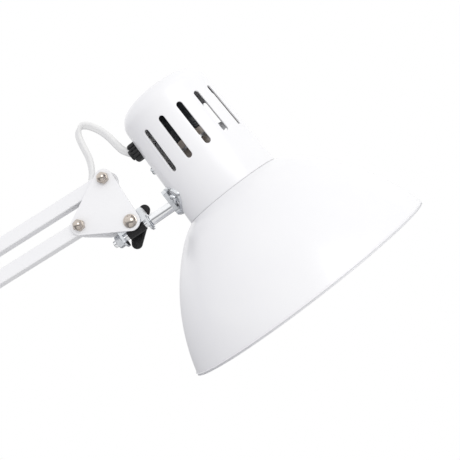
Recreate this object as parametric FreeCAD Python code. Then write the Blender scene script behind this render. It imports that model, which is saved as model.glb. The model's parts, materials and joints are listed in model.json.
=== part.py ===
import FreeCAD, Part
import math
import os

# Swing arm desk lamp on a desk clamp, millimetres, +Z up.
# The arms move in the plane y = 0, and the head reaches towards +X over the desk.
# The origin is the middle of the clamp's upper jaw face, where it rests on the desk top.

V = FreeCAD.Vector
X_AXIS, Y_AXIS, Z_AXIS = V(1, 0, 0), V(0, 1, 0), V(0, 0, 1)

# ---------------------------------------------------------------- driving dimensions
ARM_SPAN = 360.0            # pivot to pivot, each arm
LOWER_ARM_ANGLE = 105.0     # from +X, at rest
UPPER_ARM_ANGLE = 30.4
BAR = 9.0                   # square tube, outside
BAR_WALL = 1.0
BAR_END = 5.5               # tube past its pivot
PIVOT_SPACING = 34.0        # side of the head-end triangle of pivots
PIVOT_TILT = 63.5           # direction from the lower to the upper bar's pivot
KNUCKLE_TILT = 3.5          # direction from the lower bar's pivot to the tilt pivot
PLATE_CORNER = 6.3
PLATE_INNER = 5.0           # half the gap between the plates
PLATE_T = 1.5
BOLT_R = 2.0
RUNNING = 0.05              # radial clearance of a pivot
OPEN_PIVOT = 0.35           # radial clearance at the far pivot of each second bar
NUT_AF = 7.0

DESK_THICKNESS = 25.0
JAW_LINER = 1.5
SWIVEL_X = -32.0            # axis of the clamp's socket
SPIGOT_R = 6.0
SHOULDER_Z = 26.0
SHOULDER_SPREAD = 30.0      # between the lower arm's two pivots
ELBOW_OFFSET = V(26.0, 0, 30.0)   # lower arm's rear pivot to the upper arm's lower pivot

ROD_ANGLE = 33.1            # head rod above the horizontal, at rest
ROD_DROP = 5.5              # rod axis below the tilt pivot
ROD_R = 3.75
STUD_R = 2.4
ROD_REACH = 27.5            # tilt pivot to the head bracket, along the rod
LEG_HEAD = 8.1              # inner face of the yoke's leg on the head side
LEG_ARM = -10.0             # inner face of the other leg
YOKE_T = 1.5
HEAD_TILT = 36.9            # head axis from the vertical, at rest
HEAD_SWIVEL = 9.46          # head turned about the rod, at rest

CAP_R = 33.4
CAP_TOP_R = 31.2
CAP_HEIGHT = 80.0
CAP_ROUND = 11.0
SHEET = 0.9
SHADE_R = 87.5
SHADE_DEPTH = 76.0
ROD_AT = 17.0               # rod axis above the seam of cap and shade
BRACKET_FACE = 36.0         # head axis to the bracket's outer face
SLOT_COUNT = 11
SLOT_STEP = 25.2
SLOT_W = 4.0
SLOT_LOW, SLOT_HIGH = 31.5, 58.5
RELIEF_AT = 58.5            # strain relief above the seam
HOLDER_SPLIT = 44.0         # lampholder's skirt ends here, above the seam

POST_R = 2.0                # spring posts
POST_HEAD_R = 3.0
POST_HEAD_Y, POST_END_Y = 13.5, 15.5
SPRING_Y = 11.5

CORD_R = 2.5
PLUG_X, PLUG_Y, PLUG_Z = 316.0, -44.5, 9.0
PLUG_NECK = 22.0
PLUG_BODY = 24.0


# ---------------------------------------------------------------- helpers
def at(x, z, y=0.0):
    return V(x, y, z)


def polar(angle, length=1.0):
    """A step of this length in the arm plane, at an angle in degrees from +X."""
    return V(length * math.cos(math.radians(angle)), 0, length * math.sin(math.radians(angle)))


def cyl(radius, base, axis, length):
    return Part.makeCylinder(radius, length, base, axis)


def ring(r_out, r_in, base, axis, length):
    return cyl(r_out, base, axis, length).cut(cyl(r_in, base - axis, axis, length + 2))


def box(x0, x1, y0, y1, z0, z1):
    return Part.makeBox(x1 - x0, y1 - y0, z1 - z0, V(x0, y0, z0))


def fuse(shapes):
    return shapes[0].multiFuse(shapes[1:]).removeSplitter()


def export(name, shape):
    shapes = shape if isinstance(shape, list) else [shape]
    solids = [s for each in shapes for s in each.Solids]
    out = solids[0] if len(solids) == 1 else Part.makeCompound(solids)
    out.exportStep("parts/" + name + ".step")


def arc_corner(centre, radius, start, end):
    """Arc in the arm plane about a centre, anticlockwise from one angle to another, in radians."""
    points = []
    for angle in (start, (start + end) / 2, end):
        points.append(centre + V(radius * math.cos(angle), 0, radius * math.sin(angle)))
    return Part.Arc(*points).toShape()


def link(corners, radii, y0, y1):
    """Plate from y0 to y1 with rounded corners about pivots given anticlockwise (x right, z up)."""
    count = len(corners)
    normals = []
    for i in range(count):
        step = corners[(i + 1) % count] - corners[i]
        heading = math.atan2(step.z, step.x)
        swing = math.asin((radii[i] - radii[(i + 1) % count]) / step.Length)
        normals.append(heading - math.pi / 2 + swing)
    edges = []
    for i in range(count):
        start, end = normals[i - 1], normals[i]
        while end <= start:
            end += 2 * math.pi
        centre = at(corners[i].x, corners[i].z, y0)
        edges.append(arc_corner(centre, radii[i], start, end))
        nxt = (i + 1) % count
        out = V(math.cos(normals[i]), 0, math.sin(normals[i]))
        far = at(corners[nxt].x, corners[nxt].z, y0)
        edges.append(Part.LineSegment(centre + out * radii[i], far + out * radii[nxt]).toShape())
    face = Part.Face(Part.Wire(Part.__sortEdges__(edges)))
    return face.extrude(V(0, y1 - y0, 0))


def drill(shape, points, radius):
    """Holes along Y through the whole shape."""
    for point in points:
        shape = shape.cut(cyl(radius, at(point.x, point.z, -60), Y_AXIS, 120))
    return shape


def hexagon(point, across_flats, y0, y1):
    corner = across_flats / math.sqrt(3)
    points = []
    for i in range(7):
        points.append(at(point.x, point.z, y0) + polar(60 * i + 15, corner))
    return Part.Face(Part.makePolygon(points)).extrude(V(0, y1 - y0, 0))


def placed(shape, placement):
    return shape.transformed(placement.toMatrix(), True)


def pin(point, radius, y0, y1):
    return cyl(radius, at(point.x, point.z, y0), Y_AXIS, y1 - y0)


# ---------------------------------------------------------------- joint positions at rest
SHOULDER_A = at(SWIVEL_X - SHOULDER_SPREAD / 2, SHOULDER_Z)
SHOULDER_B = at(SWIVEL_X + SHOULDER_SPREAD / 2, SHOULDER_Z)
LOWER_DIR = polar(LOWER_ARM_ANGLE)
ELBOW_A = SHOULDER_A + LOWER_DIR * ARM_SPAN
ELBOW_B = SHOULDER_B + LOWER_DIR * ARM_SPAN
UPPER_DIR = polar(UPPER_ARM_ANGLE)
ELBOW_LOW = ELBOW_A + ELBOW_OFFSET
ELBOW_TOP = ELBOW_LOW + polar(PIVOT_TILT, PIVOT_SPACING)
END_LOW = ELBOW_LOW + UPPER_DIR * ARM_SPAN
END_TOP = ELBOW_TOP + UPPER_DIR * ARM_SPAN
KNUCKLE = END_LOW + polar(KNUCKLE_TILT, PIVOT_SPACING)
ROD_DIR = polar(ROD_ANGLE)
PLATE_OUTER = PLATE_INNER + PLATE_T

POST_BASE = SHOULDER_A + V(-13.0, 0, -6.0)      # where the springs hook on
POST_LOWER_BAR = SHOULDER_A + LOWER_DIR * 158.0
POST_ELBOW = ELBOW_TOP + V(-7.0, 0, 9.5)
POST_UPPER_BAR = ELBOW_TOP + UPPER_DIR * 158.0


# ---------------------------------------------------------------- fasteners
def acorn_nut(point, y_face):
    """Acorn nut on the front of a plate: hexagon, then a dome, with a blind hole for its bolt."""
    hex_length, dome_r = 3.0, 3.2
    y_hex = y_face - hex_length
    half = NUT_AF / 2
    chamfer = Part.makeCone(half, half + hex_length, hex_length, at(point.x, point.z, y_hex), Y_AXIS)
    body = hexagon(point, NUT_AF, y_hex, y_face).common(chamfer)
    dome = Part.makeSphere(dome_r, at(point.x, point.z, y_hex + 0.3))
    dome = dome.cut(pin(point, dome_r + 1, y_hex + 0.3, y_face + dome_r + 1))
    return fuse([body, dome]).cut(pin(point, BOLT_R, y_face - 3.6, y_face + 1))


def pivot_bolt(point, y_tip, y_face):
    """Bolt with a hexagon head behind the rear plate and its tip inside the acorn nut."""
    head = hexagon(point, NUT_AF, y_face, y_face + 2.8)
    return fuse([pin(point, BOLT_R, y_tip, y_face), head])


def tilt_bolt():
    """Round-headed bolt of the tilt pivot, long enough for the wing nut behind."""
    dome = Part.makeSphere(4.6, at(KNUCKLE.x, KNUCKLE.z, -PLATE_OUTER + 1.4))
    dome = dome.cut(pin(KNUCKLE, 8, -PLATE_OUTER, 20))
    return fuse([dome, pin(KNUCKLE, BOLT_R, -PLATE_OUTER, 15.5)])


def pivot_washers(points):
    """Thin washers between a tube and the plates, front and rear."""
    out = []
    for point in points:
        for y0 in (-PLATE_INNER, BAR / 2 + RUNNING):
            washer = pin(point, 4.3, y0, y0 + PLATE_INNER - BAR / 2 - RUNNING)
            out.append(washer.cut(pin(point, BOLT_R, y0 - 1, y0 + 1.5)))
    return out


# ---------------------------------------------------------------- tubes of the arms
def arm_bar(start, direction_angle, far_clearance, slots):
    """Square tube between two pivots. A slot is (from, to, side): along the tube, +1 top, -1 bottom."""
    half = BAR / 2
    outline = link([V(0, 0, 0), V(ARM_SPAN, 0, 0)], [half, half], -half, half)
    square = box(-BAR_END, ARM_SPAN + BAR_END, -half, half, -half, half)
    ends = [e for e in square.Edges if abs(e.tangentAt(e.FirstParameter).y) > 0.99]
    outer = square.makeFillet(3.0, ends).fuse(outline).removeSplitter()
    long_edges = [e for e in outer.Edges if e.Length > ARM_SPAN * 0.9]
    outer = outer.makeFillet(0.7, long_edges)
    bore = half - BAR_WALL
    tube = outer.cut(box(-20, ARM_SPAN + 20, -bore, bore, -bore, bore))
    tube = drill(tube, [V(0, 0, 0)], BOLT_R + RUNNING)
    tube = drill(tube, [V(ARM_SPAN, 0, 0)], BOLT_R + far_clearance)
    for low, high, side in slots:
        z0, z1 = (bore - 0.5, half + 1) if side > 0 else (-half - 1, -bore + 0.5)
        tube = tube.cut(box(low, high, -CORD_R - 0.4, CORD_R + 0.4, z0, z1))
    turn = FreeCAD.Placement(start, FreeCAD.Rotation(Y_AXIS, -direction_angle))
    return placed(tube, turn)


# ---------------------------------------------------------------- cords
def corner_radius(route, i):
    before, after = route[i] - route[i - 1], route[i + 1] - route[i]
    turn = before.getAngle(after)
    return 0.45 * min(before.Length, after.Length) / math.tan(turn / 2)


def cord_tube(name, route, radius=CORD_R):
    """Round tube along straight runs joined by tangent arcs, and a line of its radii."""
    edges = []
    radii = []
    here = route[0]
    for i in range(1, len(route) - 1):
        before, after = route[i] - route[i - 1], route[i + 1] - route[i]
        reach = 0.45 * min(before.Length, after.Length)
        radii.append(corner_radius(route, i))
        enter = route[i] - before.normalize() * reach
        leave = route[i] + after.normalize() * reach
        to_centre = (enter + leave) * 0.5 - route[i]
        turn = before.getAngle(after)
        centre_gap = radii[-1] / math.cos(turn / 2)
        middle = route[i] + to_centre.normalize() * (centre_gap - radii[-1])
        edges.append(Part.LineSegment(here, enter).toShape())
        edges.append(Part.Arc(enter, middle, leave).toShape())
        here = leave
    edges.append(Part.LineSegment(here, route[-1]).toShape())
    path = Part.Wire(edges)
    section = Part.Wire([Part.Circle(route[0], route[1] - route[0], radius).toShape()])
    tube = path.makePipeShell([section], True, True)
    ratio = tube.Volume / (math.pi * radius ** 2 * path.Length)
    print(name, "length", round(path.Length, 1), "volume ratio", round(ratio, 4),
          "radii", [round(r, 1) for r in radii])
    return tube


# ---------------------------------------------------------------- desk clamp
def clamp_frame():
    """C-shaped clamp of bent strip with the lamp's socket welded on its back."""
    half_w, strip = 18.0, 3.0
    back = -20.0 - strip
    top = JAW_LINER
    low = -66.0
    frame = fuse([
        box(back, 22.0, -half_w, half_w, top, top + strip),
        box(back, -20.0, -half_w, half_w, low, top + strip),
        box(back, 16.0, -half_w, half_w, low - strip, low),
        cyl(8.0, V(0, 0, low - strip - 5), Z_AXIS, strip + 8),
    ])
    outer = [e for e in frame.Edges if abs(e.Length - 2 * half_w) < 0.01
             and abs(e.Vertexes[0].X - back) < 0.01]
    frame = frame.makeFillet(2.4, outer)
    socket = cyl(9.5, V(SWIVEL_X, 0, -44), Z_AXIS, 52)
    frame = fuse([frame, socket, box(SWIVEL_X, back + 1, -6, 6, -44, 4)])
    frame = frame.cut(cyl(SPIGOT_R + RUNNING, V(SWIVEL_X, 0, -60), Z_AXIS, 80))
    return frame.cut(cyl(4.05, V(0, 0, -90), Z_AXIS, 60))


def clamp_screw():
    """Screw with a ball-ended tip that turns in the pad."""
    shank = cyl(4.0, V(0, 0, -104), Z_AXIS, 104 - 33.5)
    tip = cyl(2.6, V(0, 0, -33.5), Z_AXIS, 4.0)
    return fuse([shank, tip])


def clamp_knob():
    """Hand knob on the screw's lower end: a round hub with six rounded lobes."""
    z0, height = -112.0, 14.0
    hub = cyl(12.0, V(0, 0, z0), Z_AXIS, height)
    lobes = []
    for i in range(6):
        angle = math.radians(60 * i)
        lobes.append(cyl(5.0, V(11.0 * math.cos(angle), 11.0 * math.sin(angle), z0), Z_AXIS, height))
    neck = cyl(8.0, V(0, 0, z0 + height), Z_AXIS, 4.0)
    return fuse([hub] + lobes + [neck]).cut(cyl(4.0, V(0, 0, -104), Z_AXIS, 40))


def clamp_pad():
    """Round steel pad with a socket for the screw's tip."""
    disc = cyl(13.0, V(0, 0, -DESK_THICKNESS - 3.5), Z_AXIS, 2.0)
    socket = cyl(6.0, V(0, 0, -33.4), Z_AXIS, 33.4 - DESK_THICKNESS - 2.0)
    return fuse([disc, socket]).cut(cyl(2.65, V(0, 0, -34), Z_AXIS, 4.6))


# ---------------------------------------------------------------- shoulder
def shoulder_bracket():
    """U-shaped bracket between the clamp and the lower arm, with its spigot's seat."""
    web_z = 9.5
    corners = [at(SWIVEL_X - 19, web_z + 6), at(SWIVEL_X + 22, web_z + 6), SHOULDER_B, SHOULDER_A, POST_BASE]
    radii = [6.0, 6.0, 8.0, 8.0, 5.0]
    sides = []
    for y0 in (-PLATE_OUTER, PLATE_INNER):
        side = drill(link(corners, radii, y0, y0 + PLATE_T), [SHOULDER_A, SHOULDER_B], BOLT_R)
        sides.append(drill(side, [POST_BASE], POST_R))
    web = box(SWIVEL_X - 20, SWIVEL_X + 20, -PLATE_OUTER, PLATE_OUTER, web_z, web_z + 2.0)
    bracket = fuse(sides + [web])
    return bracket.cut(cyl(3.0, V(SWIVEL_X, 0, 0), Z_AXIS, 20))


def base_spigot():
    """Turned spigot that swivels in the clamp, riveted through the bracket's web."""
    stem = cyl(SPIGOT_R, V(SWIVEL_X, 0, -40), Z_AXIS, 48.5)
    rivet = cyl(3.0, V(SWIVEL_X, 0, 8), Z_AXIS, 4.0)
    head = cyl(4.2, V(SWIVEL_X, 0, 11.5), Z_AXIS, 1.2)
    collar = cyl(9.0, V(SWIVEL_X, 0, 8.05), Z_AXIS, 1.45)
    return fuse([stem, collar, rivet, head])


# ---------------------------------------------------------------- plates
def elbow_plate(y0):
    corners = [ELBOW_A, ELBOW_B, ELBOW_TOP, POST_ELBOW]
    plate = link(corners, [7.5, 7.5, 7.0, 5.0], y0, y0 + PLATE_T)
    plate = drill(plate, [ELBOW_A, ELBOW_B, ELBOW_LOW, ELBOW_TOP], BOLT_R)
    return drill(plate, [POST_ELBOW], POST_R)


def end_plate_front():
    corners = [END_LOW, KNUCKLE, END_TOP]
    plate = link(corners, [PLATE_CORNER] * 3, -PLATE_OUTER, -PLATE_INNER)
    return drill(plate, corners, BOLT_R)


def end_plate_rear():
    """Narrower rear plate: it carries both tubes and stops short of the tilt pivot."""
    heel = END_LOW + polar(KNUCKLE_TILT - 5, 17.0)
    plate = link([END_LOW, heel, END_TOP], [PLATE_CORNER] * 3, PLATE_INNER, PLATE_OUTER)
    return drill(plate, [END_LOW, END_TOP], BOLT_R)


# ---------------------------------------------------------------- springs
def spring_envelope(start, end, y):
    """Closed outer shape of an extension spring with a hook ring round a post at each end."""
    a, b = at(start.x, start.z, y), at(end.x, end.z, y)
    along = (b - a).normalize()
    lead = 13.0
    coil = ring(4.2, 3.0, a + along * lead, along, (b - a).Length - 2 * lead)
    pieces = [coil]
    for point, out in ((a, along), (b, along * -1)):
        pieces.append(Part.makeTorus(3.0, 0.6, point, Y_AXIS))
        pieces.append(cyl(0.6, point + out * 2.8, out, lead - 1.6))
        pieces.append(cyl(3.6, point + out * (lead - 0.4), out, 0.8))
    return fuse(pieces)


def spring_studs(point, inner):
    """Two headed studs, one each side, that hold the springs' hooks."""
    studs = []
    for side in (-1, 1):
        y_in, y_head, y_out = side * inner, side * POST_HEAD_Y, side * POST_END_Y
        stem = pin(point, POST_R, min(y_in, y_out), max(y_in, y_out))
        head = pin(point, POST_HEAD_R, min(y_head, y_out), max(y_head, y_out))
        studs.append(fuse([stem, head]))
    return studs


def spring_post(point):
    """Cross post through both plates, headed at each end for the springs' hooks."""
    return fuse(spring_studs(point, 0.0))


# ---------------------------------------------------------------- knuckle, in its own frame
# Local frame: the tilt pivot at the origin, +X along the rod to the head, +Z square to it.
KNUCKLE_FRAME = FreeCAD.Placement(KNUCKLE, FreeCAD.Rotation(Y_AXIS, -ROD_ANGLE))


def yoke():
    """Bent strap: a web on the tilt pivot and two legs that carry the rod."""
    web_y0, web_y1 = -4.6, -3.1
    leg_low, leg_high = -11.0, 4.9
    x0, x1 = LEG_ARM - YOKE_T, LEG_HEAD + YOKE_T
    web = box(x0, x1, web_y0, web_y1, -4.0, leg_high)
    knees = [box(x, x + YOKE_T, web_y0, web_y1, -6, 2) for x in (x0, LEG_HEAD)]
    legs = []
    for x in (LEG_ARM - YOKE_T, LEG_HEAD):
        leg = box(x, x + YOKE_T, web_y0, 4.9, leg_low, leg_high)
        tips = [e for e in leg.Edges if abs(e.Length - YOKE_T) < 0.01]
        legs.append(leg.makeFillet(2.2, tips))
    strap = fuse([web] + legs + knees).cut(pin(V(0, 0, 0), BOLT_R + RUNNING, -10, 10))
    return strap.cut(cyl(STUD_R + RUNNING, V(-20, 0, -ROD_DROP), X_AXIS, 60))


def wing_nut():
    """Black wing nut behind the plates: neck, tapered hub and two broad rounded wings."""
    neck = cyl(2.6, V(0, -3.0, 0), Y_AXIS, 14.0)
    hub = Part.makeCone(5.6, 4.8, 6.5, V(0, 10.0, 0), Y_AXIS)
    wings = []
    for tip in (V(1.6, 0, 10.4), V(1.6, 0, -12.4)):
        wings.append(link([V(0, 0, 0), tip], [6.0, 3.6], 10.6, 14.4))
    return fuse([neck, hub] + wings).cut(pin(V(0, 0, 0), BOLT_R + RUNNING, -5, 20))


def head_rod():
    x_shoulder = LEG_HEAD + YOKE_T + 0.9
    thick = cyl(ROD_R, V(x_shoulder, 0, -ROD_DROP), X_AXIS, ROD_REACH - x_shoulder)
    stud = cyl(STUD_R, V(-18.2, 0, -ROD_DROP), X_AXIS, x_shoulder + 19)
    seat = cyl(STUD_R, V(ROD_REACH - 1, 0, -ROD_DROP), X_AXIS, 9.5)
    return fuse([thick, stud, seat])


def rod_washer():
    x0 = LEG_HEAD + YOKE_T + 0.05
    return ring(4.9, STUD_R, V(x0, 0, -ROD_DROP), X_AXIS, 0.85)


def rod_bush():
    length = LEG_HEAD - LEG_ARM - 5.0
    return ring(2.78, STUD_R, V(LEG_ARM + 2.8, 0, -ROD_DROP), X_AXIS, length)


def rod_end_nut():
    """Hexagon nut that holds the stud behind the yoke's far leg."""
    x1 = LEG_ARM - YOKE_T - 0.05
    turned = FreeCAD.Placement(V(x1 - 4.2, 0, -ROD_DROP), FreeCAD.Rotation(Z_AXIS, -90))
    nut = placed(hexagon(V(0, 0, 0), 8.0, 0, 4.2), turned)
    return nut.cut(cyl(STUD_R, V(-30, 0, -ROD_DROP), X_AXIS, 30))


# ---------------------------------------------------------------- head, in its own frame
# Local frame: the seam of cap and shade at z = 0, +Z towards the cap's top, +X to the rod.
def head_frame():
    rod_foot = KNUCKLE + polar(ROD_ANGLE - 90, ROD_DROP)
    bracket = rod_foot + ROD_DIR * ROD_REACH
    swivel = FreeCAD.Placement(V(0, 0, 0), FreeCAD.Rotation(ROD_DIR, HEAD_SWIVEL), rod_foot)
    lean = FreeCAD.Placement(bracket, FreeCAD.Rotation(Y_AXIS, -HEAD_TILT))
    turn = FreeCAD.Placement(V(0, 0, 0), FreeCAD.Rotation(Z_AXIS, 180))
    shift = FreeCAD.Placement(V(-BRACKET_FACE, 0, -ROD_AT), FreeCAD.Rotation())
    return swivel * lean * turn * shift


HEAD_FRAME = head_frame()
FLANGE_SCREWS = [polar(a, 28.0) for a in (60, 180, 300)]
FLANGE_POINTS = [V(p.x, p.z, -1) for p in FLANGE_SCREWS]
SHADE_MIDDLE = V(71.8, 0, -38.0)
SHADE_SHOULDER = V(39.2, 0, -2.9)
NECK_R = 33.9
BRACKET_SCREW_ANGLE = 26.0
BRACKET_SCREW_AT = ROD_AT + 1.5
BRACKET_SCREW_R = 1.5


def revolve(edges):
    return Part.Face(Part.Wire(Part.__sortEdges__(edges))).revolve(V(0, 0, 0), Z_AXIS, 360)


def line(a, b):
    return Part.LineSegment(a, b).toShape()


def cap_body(inset):
    """Solid of the cap's outline, smaller all round by the inset."""
    wall_top = CAP_HEIGHT - CAP_ROUND
    r_low, r_top, round_r = CAP_R - inset, CAP_TOP_R - inset, CAP_ROUND - inset
    corner = V(r_top - round_r, 0, wall_top)
    quarter = Part.Arc(V(r_top, 0, wall_top),
                       corner + polar(45, round_r),
                       V(corner.x, 0, wall_top + round_r)).toShape()
    top_z = CAP_HEIGHT - inset
    return revolve([line(V(0, 0, 0), V(r_low, 0, 0)), line(V(r_low, 0, 0), V(r_top, 0, wall_top)),
                    quarter, line(V(corner.x, 0, top_z), V(0, 0, top_z)), line(V(0, 0, top_z), V(0, 0, 0))])


def bracket_screw_hole(side):
    turn = FreeCAD.Placement(V(0, 0, 0), FreeCAD.Rotation(Z_AXIS, side * BRACKET_SCREW_ANGLE))
    return placed(cyl(BRACKET_SCREW_R, V(28, 0, BRACKET_SCREW_AT), X_AXIS, 12), turn)


def cap():
    """Ventilated cap: thin drawn shell with an inner flange and eleven upright slots."""
    shell = cap_body(0).cut(cap_body(SHEET))
    flange = ring(CAP_R - 0.3, 24.0, V(0, 0, 0), Z_AXIS, SHEET)
    shell = fuse([shell, flange])
    first = 180 - SLOT_STEP * (SLOT_COUNT - 1) / 2
    for i in range(SLOT_COUNT):
        angle = first + SLOT_STEP * i
        slot = link([V(0, 0, SLOT_LOW), V(0, 0, SLOT_HIGH)], [SLOT_W / 2] * 2, 26, 40)
        turn = FreeCAD.Placement(V(0, 0, 0), FreeCAD.Rotation(Z_AXIS, angle - 90))
        shell = shell.cut(placed(slot, turn))
    shell = shell.cut(cyl(3.6, V(28, 0, RELIEF_AT), X_AXIS, 8))
    shell = shell.cut(cyl(2.0, V(28, 0, 42), X_AXIS, 8))
    shell = shell.cut(cyl(3.0, V(28, 0, ROD_AT), X_AXIS, 8))
    for side in (-1, 1):
        shell = shell.cut(bracket_screw_hole(side))
    for point in FLANGE_POINTS:
        shell = shell.cut(cyl(1.6, point, Z_AXIS, 2))
    return shell


def shade_profile(inset):
    """Side of the bowl: a short neck round the cap's edge, then one long arc down to the rim."""
    shrink = V(-inset, 0, -inset * 0.55)
    rim = V(SHADE_R - inset, 0, -SHADE_DEPTH)
    middle, shoulder = SHADE_MIDDLE + shrink, SHADE_SHOULDER + shrink
    neck = V(NECK_R - inset * 0.5, 0, -inset)
    return rim, middle, shoulder, neck


def shade_body(inset):
    rim, middle, shoulder, neck = shade_profile(inset)
    edges = [Part.Arc(rim, middle, shoulder).toShape(), line(shoulder, neck)]
    edges.append(line(neck, V(0, 0, neck.z)))
    edges.append(line(V(0, 0, neck.z), V(0, 0, rim.z)))
    edges.append(line(V(0, 0, rim.z), rim))
    return revolve(edges)


def shade():
    """Spun bowl with a rolled rim and a flat top flange under the cap."""
    inner = shade_body(SHEET)
    below = cyl(SHADE_R - SHEET, V(0, 0, -SHADE_DEPTH - 1), Z_AXIS, 1.0)
    shell = shade_body(0).cut(fuse([inner, below]))
    shell = shell.cut(cyl(24.0, V(0, 0, -5), Z_AXIS, 10))
    rim = Part.makeTorus(SHADE_R - 0.45, 0.95, V(0, 0, -SHADE_DEPTH), Z_AXIS)
    shell = fuse([shell, rim])
    for point in FLANGE_POINTS:
        shell = shell.cut(cyl(1.6, point - Z_AXIS * 2, Z_AXIS, 4))
    return shell


def flange_screws():
    """Three screws that hold the shade's flange to the cap's."""
    out = []
    for point in FLANGE_POINTS:
        base = V(point.x, point.y, 0)
        shank = cyl(1.6, base - Z_AXIS * SHEET, Z_AXIS, 2 * SHEET)
        head = cyl(2.8, base - Z_AXIS * (SHEET + 1.4), Z_AXIS, 1.4)
        tail = cyl(2.6, base + Z_AXIS * SHEET, Z_AXIS, 1.6)
        out.append(fuse([shank, head, tail]))
    return out


def head_bracket():
    """Zinc saddle on the cap's side: a flat raised face for the rod and two wings on the cap."""
    wall = CAP_R - 0.55
    band = cyl(wall + 1.5, V(0, 0, 4), Z_AXIS, 28)
    outline = Part.makeCylinder(1.0, 60, V(0, 0, 0), X_AXIS)
    squash = FreeCAD.Matrix()
    squash.scale(1, 20.0, 9.9)
    outline = outline.transformGeometry(squash)
    outline.translate(V(0, 0, ROD_AT + 1.5))
    wings = band.common(outline)
    bridge = box(30, BRACKET_FACE, -9.5, 9.5, ROD_AT - 7.5, ROD_AT + 10.5)
    edges = [e for e in bridge.Edges if abs(e.Vertexes[0].X - e.Vertexes[1].X) > 1]
    bridge = bridge.makeFillet(3.0, edges)
    saddle = fuse([wings, bridge]).cut(cap_body(-0.02))
    hollow = box(30, BRACKET_FACE - 1.5, -20, 20, ROD_AT - 4.5, ROD_AT + 7.5)
    saddle = saddle.cut(hollow.common(cyl(BRACKET_FACE - 1.5, V(0, 0, 0), Z_AXIS, 40)))
    saddle = saddle.cut(cyl(STUD_R, V(28, 0, ROD_AT), X_AXIS, 12))
    for side in (-1, 1):
        saddle = saddle.cut(bracket_screw_hole(side))
    return max(saddle.Solids, key=lambda s: s.Volume)


def bracket_screws():
    """Screws through the saddle's wings, with their nuts inside the cap."""
    out = []
    for side in (-1, 1):
        head = cyl(2.9, V(CAP_R + 0.9, 0, BRACKET_SCREW_AT), X_AXIS, 2.0)
        shank = cyl(BRACKET_SCREW_R, V(29.0, 0, BRACKET_SCREW_AT), X_AXIS, 6.5)
        nut = cyl(3.0, V(29.6, 0, BRACKET_SCREW_AT), X_AXIS, 2.0)
        turn = FreeCAD.Placement(V(0, 0, 0), FreeCAD.Rotation(Z_AXIS, side * BRACKET_SCREW_ANGLE))
        out.append(placed(fuse([head, shank, nut]), turn))
    return out


def rod_inner_nut():
    """Nut inside the cap on the rod's end."""
    turned = FreeCAD.Placement(V(28.2, 0, ROD_AT), FreeCAD.Rotation(Z_AXIS, -90))
    return placed(hexagon(V(0, 0, 0), 8.0, 0, 3.2), turned).cut(cyl(STUD_R, V(20, 0, ROD_AT), X_AXIS, 20))


def strain_relief():
    """Ribbed rubber block where the cord enters the cap."""
    face = CAP_R - 0.7
    block = box(face - 1.5, face + 4.2, -4.8, 4.8, RELIEF_AT - 6.2, RELIEF_AT + 6.2)
    block = block.makeFillet(0.9, [e for e in block.Edges if abs(e.Vertexes[0].X - e.Vertexes[1].X) > 1])
    block = block.cut(cap_body(-0.02))
    for z in (-3.6, 0, 3.6):
        for y0, y1 in ((-6, -4.0), (4.0, 6)):
            block = block.cut(box(face + 0.9, face + 5, y0, y1, RELIEF_AT + z - 0.6, RELIEF_AT + z + 0.6))
    neck = cyl(3.6, V(30.0, 0, RELIEF_AT), X_AXIS, 5.0)
    return fuse([block, neck]).cut(cyl(CORD_R, V(20, 0, RELIEF_AT), X_AXIS, CAP_R - 18.0))


def strap_screw():
    """Pan-head screw that holds the lampholder's strap to the cap."""
    head = cyl(2.4, V(CAP_R - 1.2, 0, 42), X_AXIS, 2.2)
    head = head.cut(box(CAP_R + 0.4, CAP_R + 3, -3, 3, 41.6, 42.4)).cut(cap_body(-0.02))
    shank = cyl(1.6, V(29.0, 0, 42), X_AXIS, 4.6)
    return fuse([head, shank])


def lampholder_strap():
    """Strap from the cap's side to a ring round the lampholder."""
    hoop = ring(24.0, 18.2, V(0, 0, 36.5), Z_AXIS, 1.5)
    foot = box(20, 31.0, -5, 5, 36.5, 38.0)
    tab = box(29.5, 31.0, -5, 5, 36.5, 47.0)
    return fuse([hoop, foot, tab]).common(cap_body(SHEET)).cut(cyl(1.6, V(20, 0, 42), X_AXIS, 20))


def lampholder_top():
    """Black upper half of the lampholder, with the cord's entry on its side."""
    top = cyl(18.2, V(0, 0, HOLDER_SPLIT), Z_AXIS, 51.5 - HOLDER_SPLIT)
    cone = Part.makeCone(18.2, 12.0, 8.0, V(0, 0, 51.5), Z_AXIS)
    cap_end = cyl(12.0, V(0, 0, 59.5), Z_AXIS, 6.0)
    port = cyl(4.6, V(0, 0, RELIEF_AT), X_AXIS, 17.0)
    return fuse([top, cone, cap_end, port]).cut(cyl(CORD_R, V(8, 0, RELIEF_AT), X_AXIS, 12))


def lampholder_skirt():
    """Ceramic lower half, open below for the bulb's screw base."""
    body = fuse([cyl(20.0, V(0, 0, 4.0), Z_AXIS, 26.0), cyl(18.2, V(0, 0, 30), Z_AXIS, HOLDER_SPLIT - 30)])
    return body.cut(cyl(13.6, V(0, 0, 3.0), Z_AXIS, 27.0))


def bulb_base():
    return fuse([cyl(13.0, V(0, 0, 3.0), Z_AXIS, 22.0), Part.makeCone(13.0, 5.0, 4.0, V(0, 0, 25), Z_AXIS)])


def bulb_glass():
    """Globe and neck of the bulb, one closed envelope."""
    centre_z, globe_r, neck_r = -36.0, 25.0, 13.0
    join_z = centre_z + math.sqrt(globe_r ** 2 - 17.0 ** 2)
    ball = Part.makeSphere(globe_r, V(0, 0, centre_z))
    taper = Part.makeCone(17.0, neck_r, 3.0 - join_z, V(0, 0, join_z), Z_AXIS)
    return fuse([ball, taper])


def head_lead():
    return cyl(CORD_R, V(8.0, 0, RELIEF_AT), X_AXIS, CAP_R - 8.5)


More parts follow.
